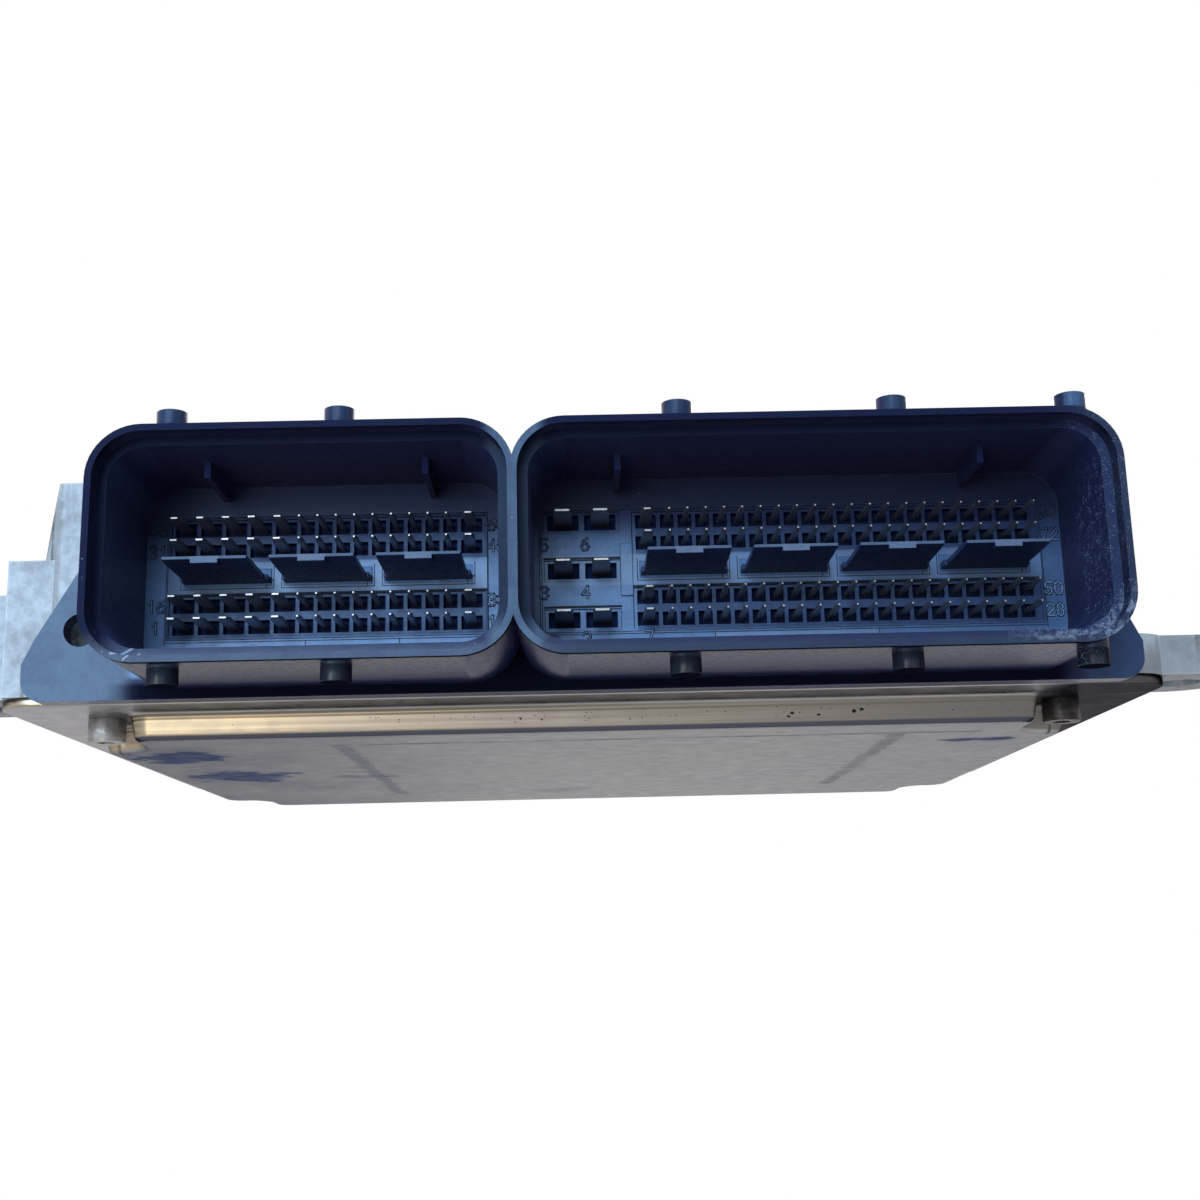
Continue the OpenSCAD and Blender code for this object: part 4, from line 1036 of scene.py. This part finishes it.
def cover_rim(inset, height):
    """Outer outline of the cover at a height."""
    low, high = (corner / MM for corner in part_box("cover"))
    points = []
    for side_x, side_y, start in ((1, -1, -90), (1, 1, 0), (-1, 1, 90), (-1, -1, 180)):
        middle = ((high.x if side_x > 0 else low.x) - side_x * COVER_CORNER,
                  (high.y if side_y > 0 else low.y) - side_y * COVER_CORNER)
        corner = arc(middle, COVER_CORNER - inset, start, start + 90, 1)
        points += [Vector((point.x, point.y, height)) for point, _ in corner]
    return points


def pressed_cover():
    """Cover of one sheet: flange, folded step round its flat, notches for the screws, a soft outer edge."""
    form = bmesh.new()

    def ring(points):
        return [form.verts.new(Vector(p) * MM) for p in points]

    def join(rings):
        for first, second in zip(rings, rings[1:]):
            count = len(first)
            for i in range(count):
                j = (i + 1) % count
                form.faces.new((first[i], first[j], second[j], second[i])).smooth = True

    def loop(verts):
        pairs = zip(verts, verts[1:] + verts[:1])
        return [form.edges.get(pair) or form.edges.new(pair) for pair in pairs]

    outline = flat_outline()
    steps = [ring([(*(p + offset * n), height) for p, n in outline]) for offset, height in fold_profile()]
    join(steps)
    form.faces.new(steps[-1])
    rims = [ring(cover_rim(inset, DROP + rise)) for inset, rise in COVER_EDGE]
    join(rims)
    form.faces.new(rims[-1])
    bmesh.ops.triangle_fill(form, edges=loop(steps[0]) + loop(rims[0]), use_beauty=True)
    return finished(form, "cover_sheet")


def strokes(lines, width, proud, y):
    """Raised strokes along X-Z lines on a face at y, all in millimetres."""
    form = bmesh.new()

    def outline(start, end, side, depth):
        corners = (start - side, end - side, end + side, start + side)
        return [form.verts.new((v.x * MM, depth * MM, v.y * MM)) for v in corners]

    for line in lines:
        for a, b in zip(line, line[1:]):
            start, end = Vector(a), Vector(b)
            along = (end - start).normalized()
            side = Vector((-along.y, along.x)) * width / 2
            start -= along * width * STROKE_PAST
            end += along * width * STROKE_PAST
            base = outline(start, end, side, y)
            top = outline(start, end, side * STROKE_TOP, y - proud)
            form.faces.new(top)
            for i in range(4):
                form.faces.new((base[i], base[(i + 1) % 4], top[(i + 1) % 4], top[i]))
    return finished(form, "strokes")


def number_lines():
    """Stroke lines of all pin numbers."""
    lines = []
    for text, middle_x, middle_z in NUMBERS:
        start = middle_x - ((len(text) - 1) * DIGIT_GAP + DIGIT_W) / 2
        for i, digit in enumerate(text):
            left = start + i * DIGIT_GAP
            for line in DIGITS[digit]:
                lines.append([(left + u * DIGIT_W, middle_z + (v - 0.5) * DIGIT_H) for u, v in line])
    return lines


def seam_lines():
    """Fine mould seams round the feet of the guides, beside the pin fields and below them."""
    lines = []
    width, height = FOOT_HALF
    low, high = FIELD_Z - height, FIELD_Z + height
    for x in GUIDES_60 + GUIDES_94:
        left, right = x - width, x + width
        nick_x, nick_z = right - FOOT_NICK[0], FIELD_Z - FOOT_NICK[1]
        lines.append([(left, high), (left, low), (right, low), (right, high)])
        lines.append([(right, nick_z), (nick_x, nick_z), (nick_x, low)])
    lines += [[(x, z) for z in SIDE_SEAM_Z] for x in SIDE_SEAM_X]
    lines += [[(x, BOTTOM_SEAM_Z) for x in ends] for ends in BOTTOM_SEAMS]
    lines += [[(x, SHORT_SEAM_LOW), (x, BOTTOM_SEAM_Z)] for x in SHORT_SEAM_X]
    lines.append([(x, STRIP_SEAM_Z) for x in STRIP_SEAM])
    return lines


def flake_places():
    """The larger flakes of the photograph and a thin scatter of small ones."""
    dice = random.Random(SCATTER_SEED)
    places = list(LARGE_FLAKES)
    for _ in range(SMALL_FLAKES):
        x = dice.gauss(0.0, SMALL_FLAKE_SPREAD)
        z = dice.uniform(*SMALL_FLAKE_Z)
        places.append((x, z, dice.uniform(*SMALL_FLAKE_R)))
    reach = FLAT_NARROW - FLAT_R - 1
    return [place for place in places if abs(place[0]) < reach]


def flakes(places):
    """Small ragged flakes of dirt on the step of the cover: x, z and radius in millimetres."""
    dice = random.Random(FLAKE_SEED)
    form = bmesh.new()
    for x, z, radius in places:
        y = FLAT_FRONT + STEP_LEAN * (1 - z / DROP)
        outer = []
        for i in range(FLAKE_CORNERS):
            turn = 2 * math.pi * i / FLAKE_CORNERS
            reach = radius * dice.uniform(*FLAKE_REACH)
            u, v = reach * math.cos(turn), reach * FLAKE_SQUASH * math.sin(turn)
            place = (x + u, y - STEP_LEAN * v / DROP - FLAKE_LIFT, z + v)
            outer.append(form.verts.new([value * MM for value in place]))
        tip = form.verts.new((x * MM, (y - FLAKE_H) * MM, z * MM))
        for i in range(FLAKE_CORNERS):
            form.faces.new((outer[i], outer[(i + 1) % FLAKE_CORNERS], tip))
    return finished(form, "flakes")


def add_lamp(name, at, aim, size, power, color):
    """Square lamp that points from one place to another."""
    light = bpy.data.lights.new(name, "AREA")
    light.size = size
    light.energy = power
    light.color = color
    lamp = bpy.data.objects.new(name, light)
    lamp.location = at
    lamp.rotation_euler = (Vector(aim) - Vector(at)).to_track_quat("-Z", "Y").to_euler()
    bpy.context.scene.collection.objects.link(lamp)


def blend(tree, share, first, second, output):
    """Shows a mix of two shaders."""
    mix = tree.nodes.new("ShaderNodeMixShader")
    tree.links.new(share, mix.inputs["Fac"])
    tree.links.new(first.outputs[0], mix.inputs[1])
    tree.links.new(second.outputs[0], mix.inputs[2])
    tree.links.new(mix.outputs["Shader"], tree.nodes[output].inputs["Surface"])


def add_world():
    """White to the camera and in reflections, a soft cool ambient to everything else."""
    world = bpy.data.worlds.new("studio")
    bpy.context.scene.world = world
    world.use_nodes = True
    tree = world.node_tree
    shown = tree.nodes["Background"]
    shown.inputs["Color"].default_value = (1.0, 1.0, 1.0, 1.0)
    shown.inputs["Strength"].default_value = 1.0
    ambient = tree.nodes.new("ShaderNodeBackground")
    ambient.inputs["Color"].default_value = (*WORLD_AMBIENT, 1.0)
    ambient.inputs["Strength"].default_value = WORLD_AMBIENT_STRENGTH
    path = tree.nodes.new("ShaderNodeLightPath")
    seen = path.outputs["Is Camera Ray"]
    for ray in ("Is Glossy Ray", "Is Transmission Ray"):
        either = tree.nodes.new("ShaderNodeMath")
        either.operation = "MAXIMUM"
        tree.links.new(seen, either.inputs[0])
        tree.links.new(path.outputs[ray], either.inputs[1])
        seen = either.outputs["Value"]
    blend(tree, seen, ambient, shown, "World Output")


def floor_material():
    """Pale floor that shows from above only, so that the view from below sees the cover, and fades out."""
    paint = Paint("pale_floor")
    path = paint.node("LightPath")
    geometry = paint.node("NewGeometry")
    above = paint.math("GREATER_THAN", path.outputs["Is Camera Ray"], geometry.outputs["Backfacing"])
    away = paint.node("VectorMath")
    away.operation = "LENGTH"
    paint.join(geometry.outputs["Position"], away.inputs[0])
    near = paint.span(away.outputs["Value"], FLOOR_FADE[1], FLOOR_FADE[0])
    clear = paint.node("BsdfTransparent")
    blend(paint.tree, paint.times(above, near), clear, paint.bsdf, "Material Output")
    return paint.done(FLOOR_COLOR, FLOOR_ROUGHNESS)


def add_floor():
    """Square floor just under the part."""
    mesh = bpy.data.meshes.new("floor")
    corners = [(x * FLOOR_HALF, y * FLOOR_HALF, 0) for x, y in ((-1, -1), (1, -1), (1, 1), (-1, 1))]
    mesh.from_pydata(corners, [], [(0, 1, 2, 3)])
    floor = bpy.data.objects.new("floor", mesh)
    floor.location.z = FLOOR_Z * MM
    bpy.context.scene.collection.objects.link(floor)
    mesh.materials.append(floor_material())


def add_camera():
    """Camera at the photograph's place, looking up at the sockets."""
    data = bpy.data.cameras.new("camera")
    data.lens = CAMERA_LENS
    data.sensor_width = CAMERA_SENSOR
    data.sensor_fit = "HORIZONTAL"
    data.clip_start, data.clip_end = CAMERA_CLIP
    camera = bpy.data.objects.new("camera", data)
    camera.location = CAMERA_AT
    camera.rotation_euler = Euler([math.radians(a) for a in CAMERA_TURN], "XYZ")
    bpy.context.scene.collection.objects.link(camera)
    bpy.context.scene.camera = camera


dress(header_plastic(), "connector_header")
dress(carrier_plastic(), "pin_carrier_60", "pin_carrier_94")
dress(guide_plastic("guide_plastic_60", GUIDES_60[0]), "guide_blades_60")
dress(guide_plastic("guide_plastic_94", GUIDES_94[0]), "guide_blades_94")
dress(cast_metal(), "housing")
dress(pin_metal("thin_pins", THIN_TIP_HIGHLIGHT), "signal_pins_60", "signal_pins_94")
dress(pin_metal("wide_pins", WIDE_TIP_HIGHLIGHT), "power_pins_60", "sense_pins_94", "supply_blades_94")
dress(plated_screw(), "cover_screws", "board_screws")
for *finish, finish_nodes in HIDDEN_FINISHES:
    dress(mottled(*finish), *finish_nodes)

cover = add_piece("cover_sheet", pressed_cover(), sheet_metal())
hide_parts("cover")

panel_shadow_lines = [[(left, z), (right, z)] for left, right, z in PANEL_EDGE_SHADOWS]
# Marks on the plates: piece, lines, width and height in millimetres, material
MARKS = [
    ("pin_numbers", number_lines(), NUMBER_W, NUMBER_H, "lit_number_plastic"),
    ("number_shadows", number_lines(), NUMBER_SHADOW_W, NUMBER_SHADOW_H, "number_shadow_plastic"),
    ("mould_seams", seam_lines(), SEAM_W, SEAM_H, "seam_plastic"),
    ("panel_edge_shadows", panel_shadow_lines, PANEL_SHADOW_W, SEAM_H, "panel_shadow_plastic"),
]
for mark, mark_lines, mark_width, mark_height, mark_material in MARKS:
    mark_mesh = strokes(mark_lines, mark_width, mark_height, PLATE_Y)
    add_piece(mark, mark_mesh, mark_plastic(mark_material))
add_piece("dirt_flakes", flakes(flake_places()), mark_plastic("dirt"))

for node_name, (edge_width, edge_segments) in SOFT_EDGES.items():
    soften(node_name, edge_width, edge_segments)

add_camera()
add_world()
add_floor()
for lamp_values in LAMPS:
    add_lamp(*lamp_values)

bpy.context.scene.view_settings.view_transform = "Standard"
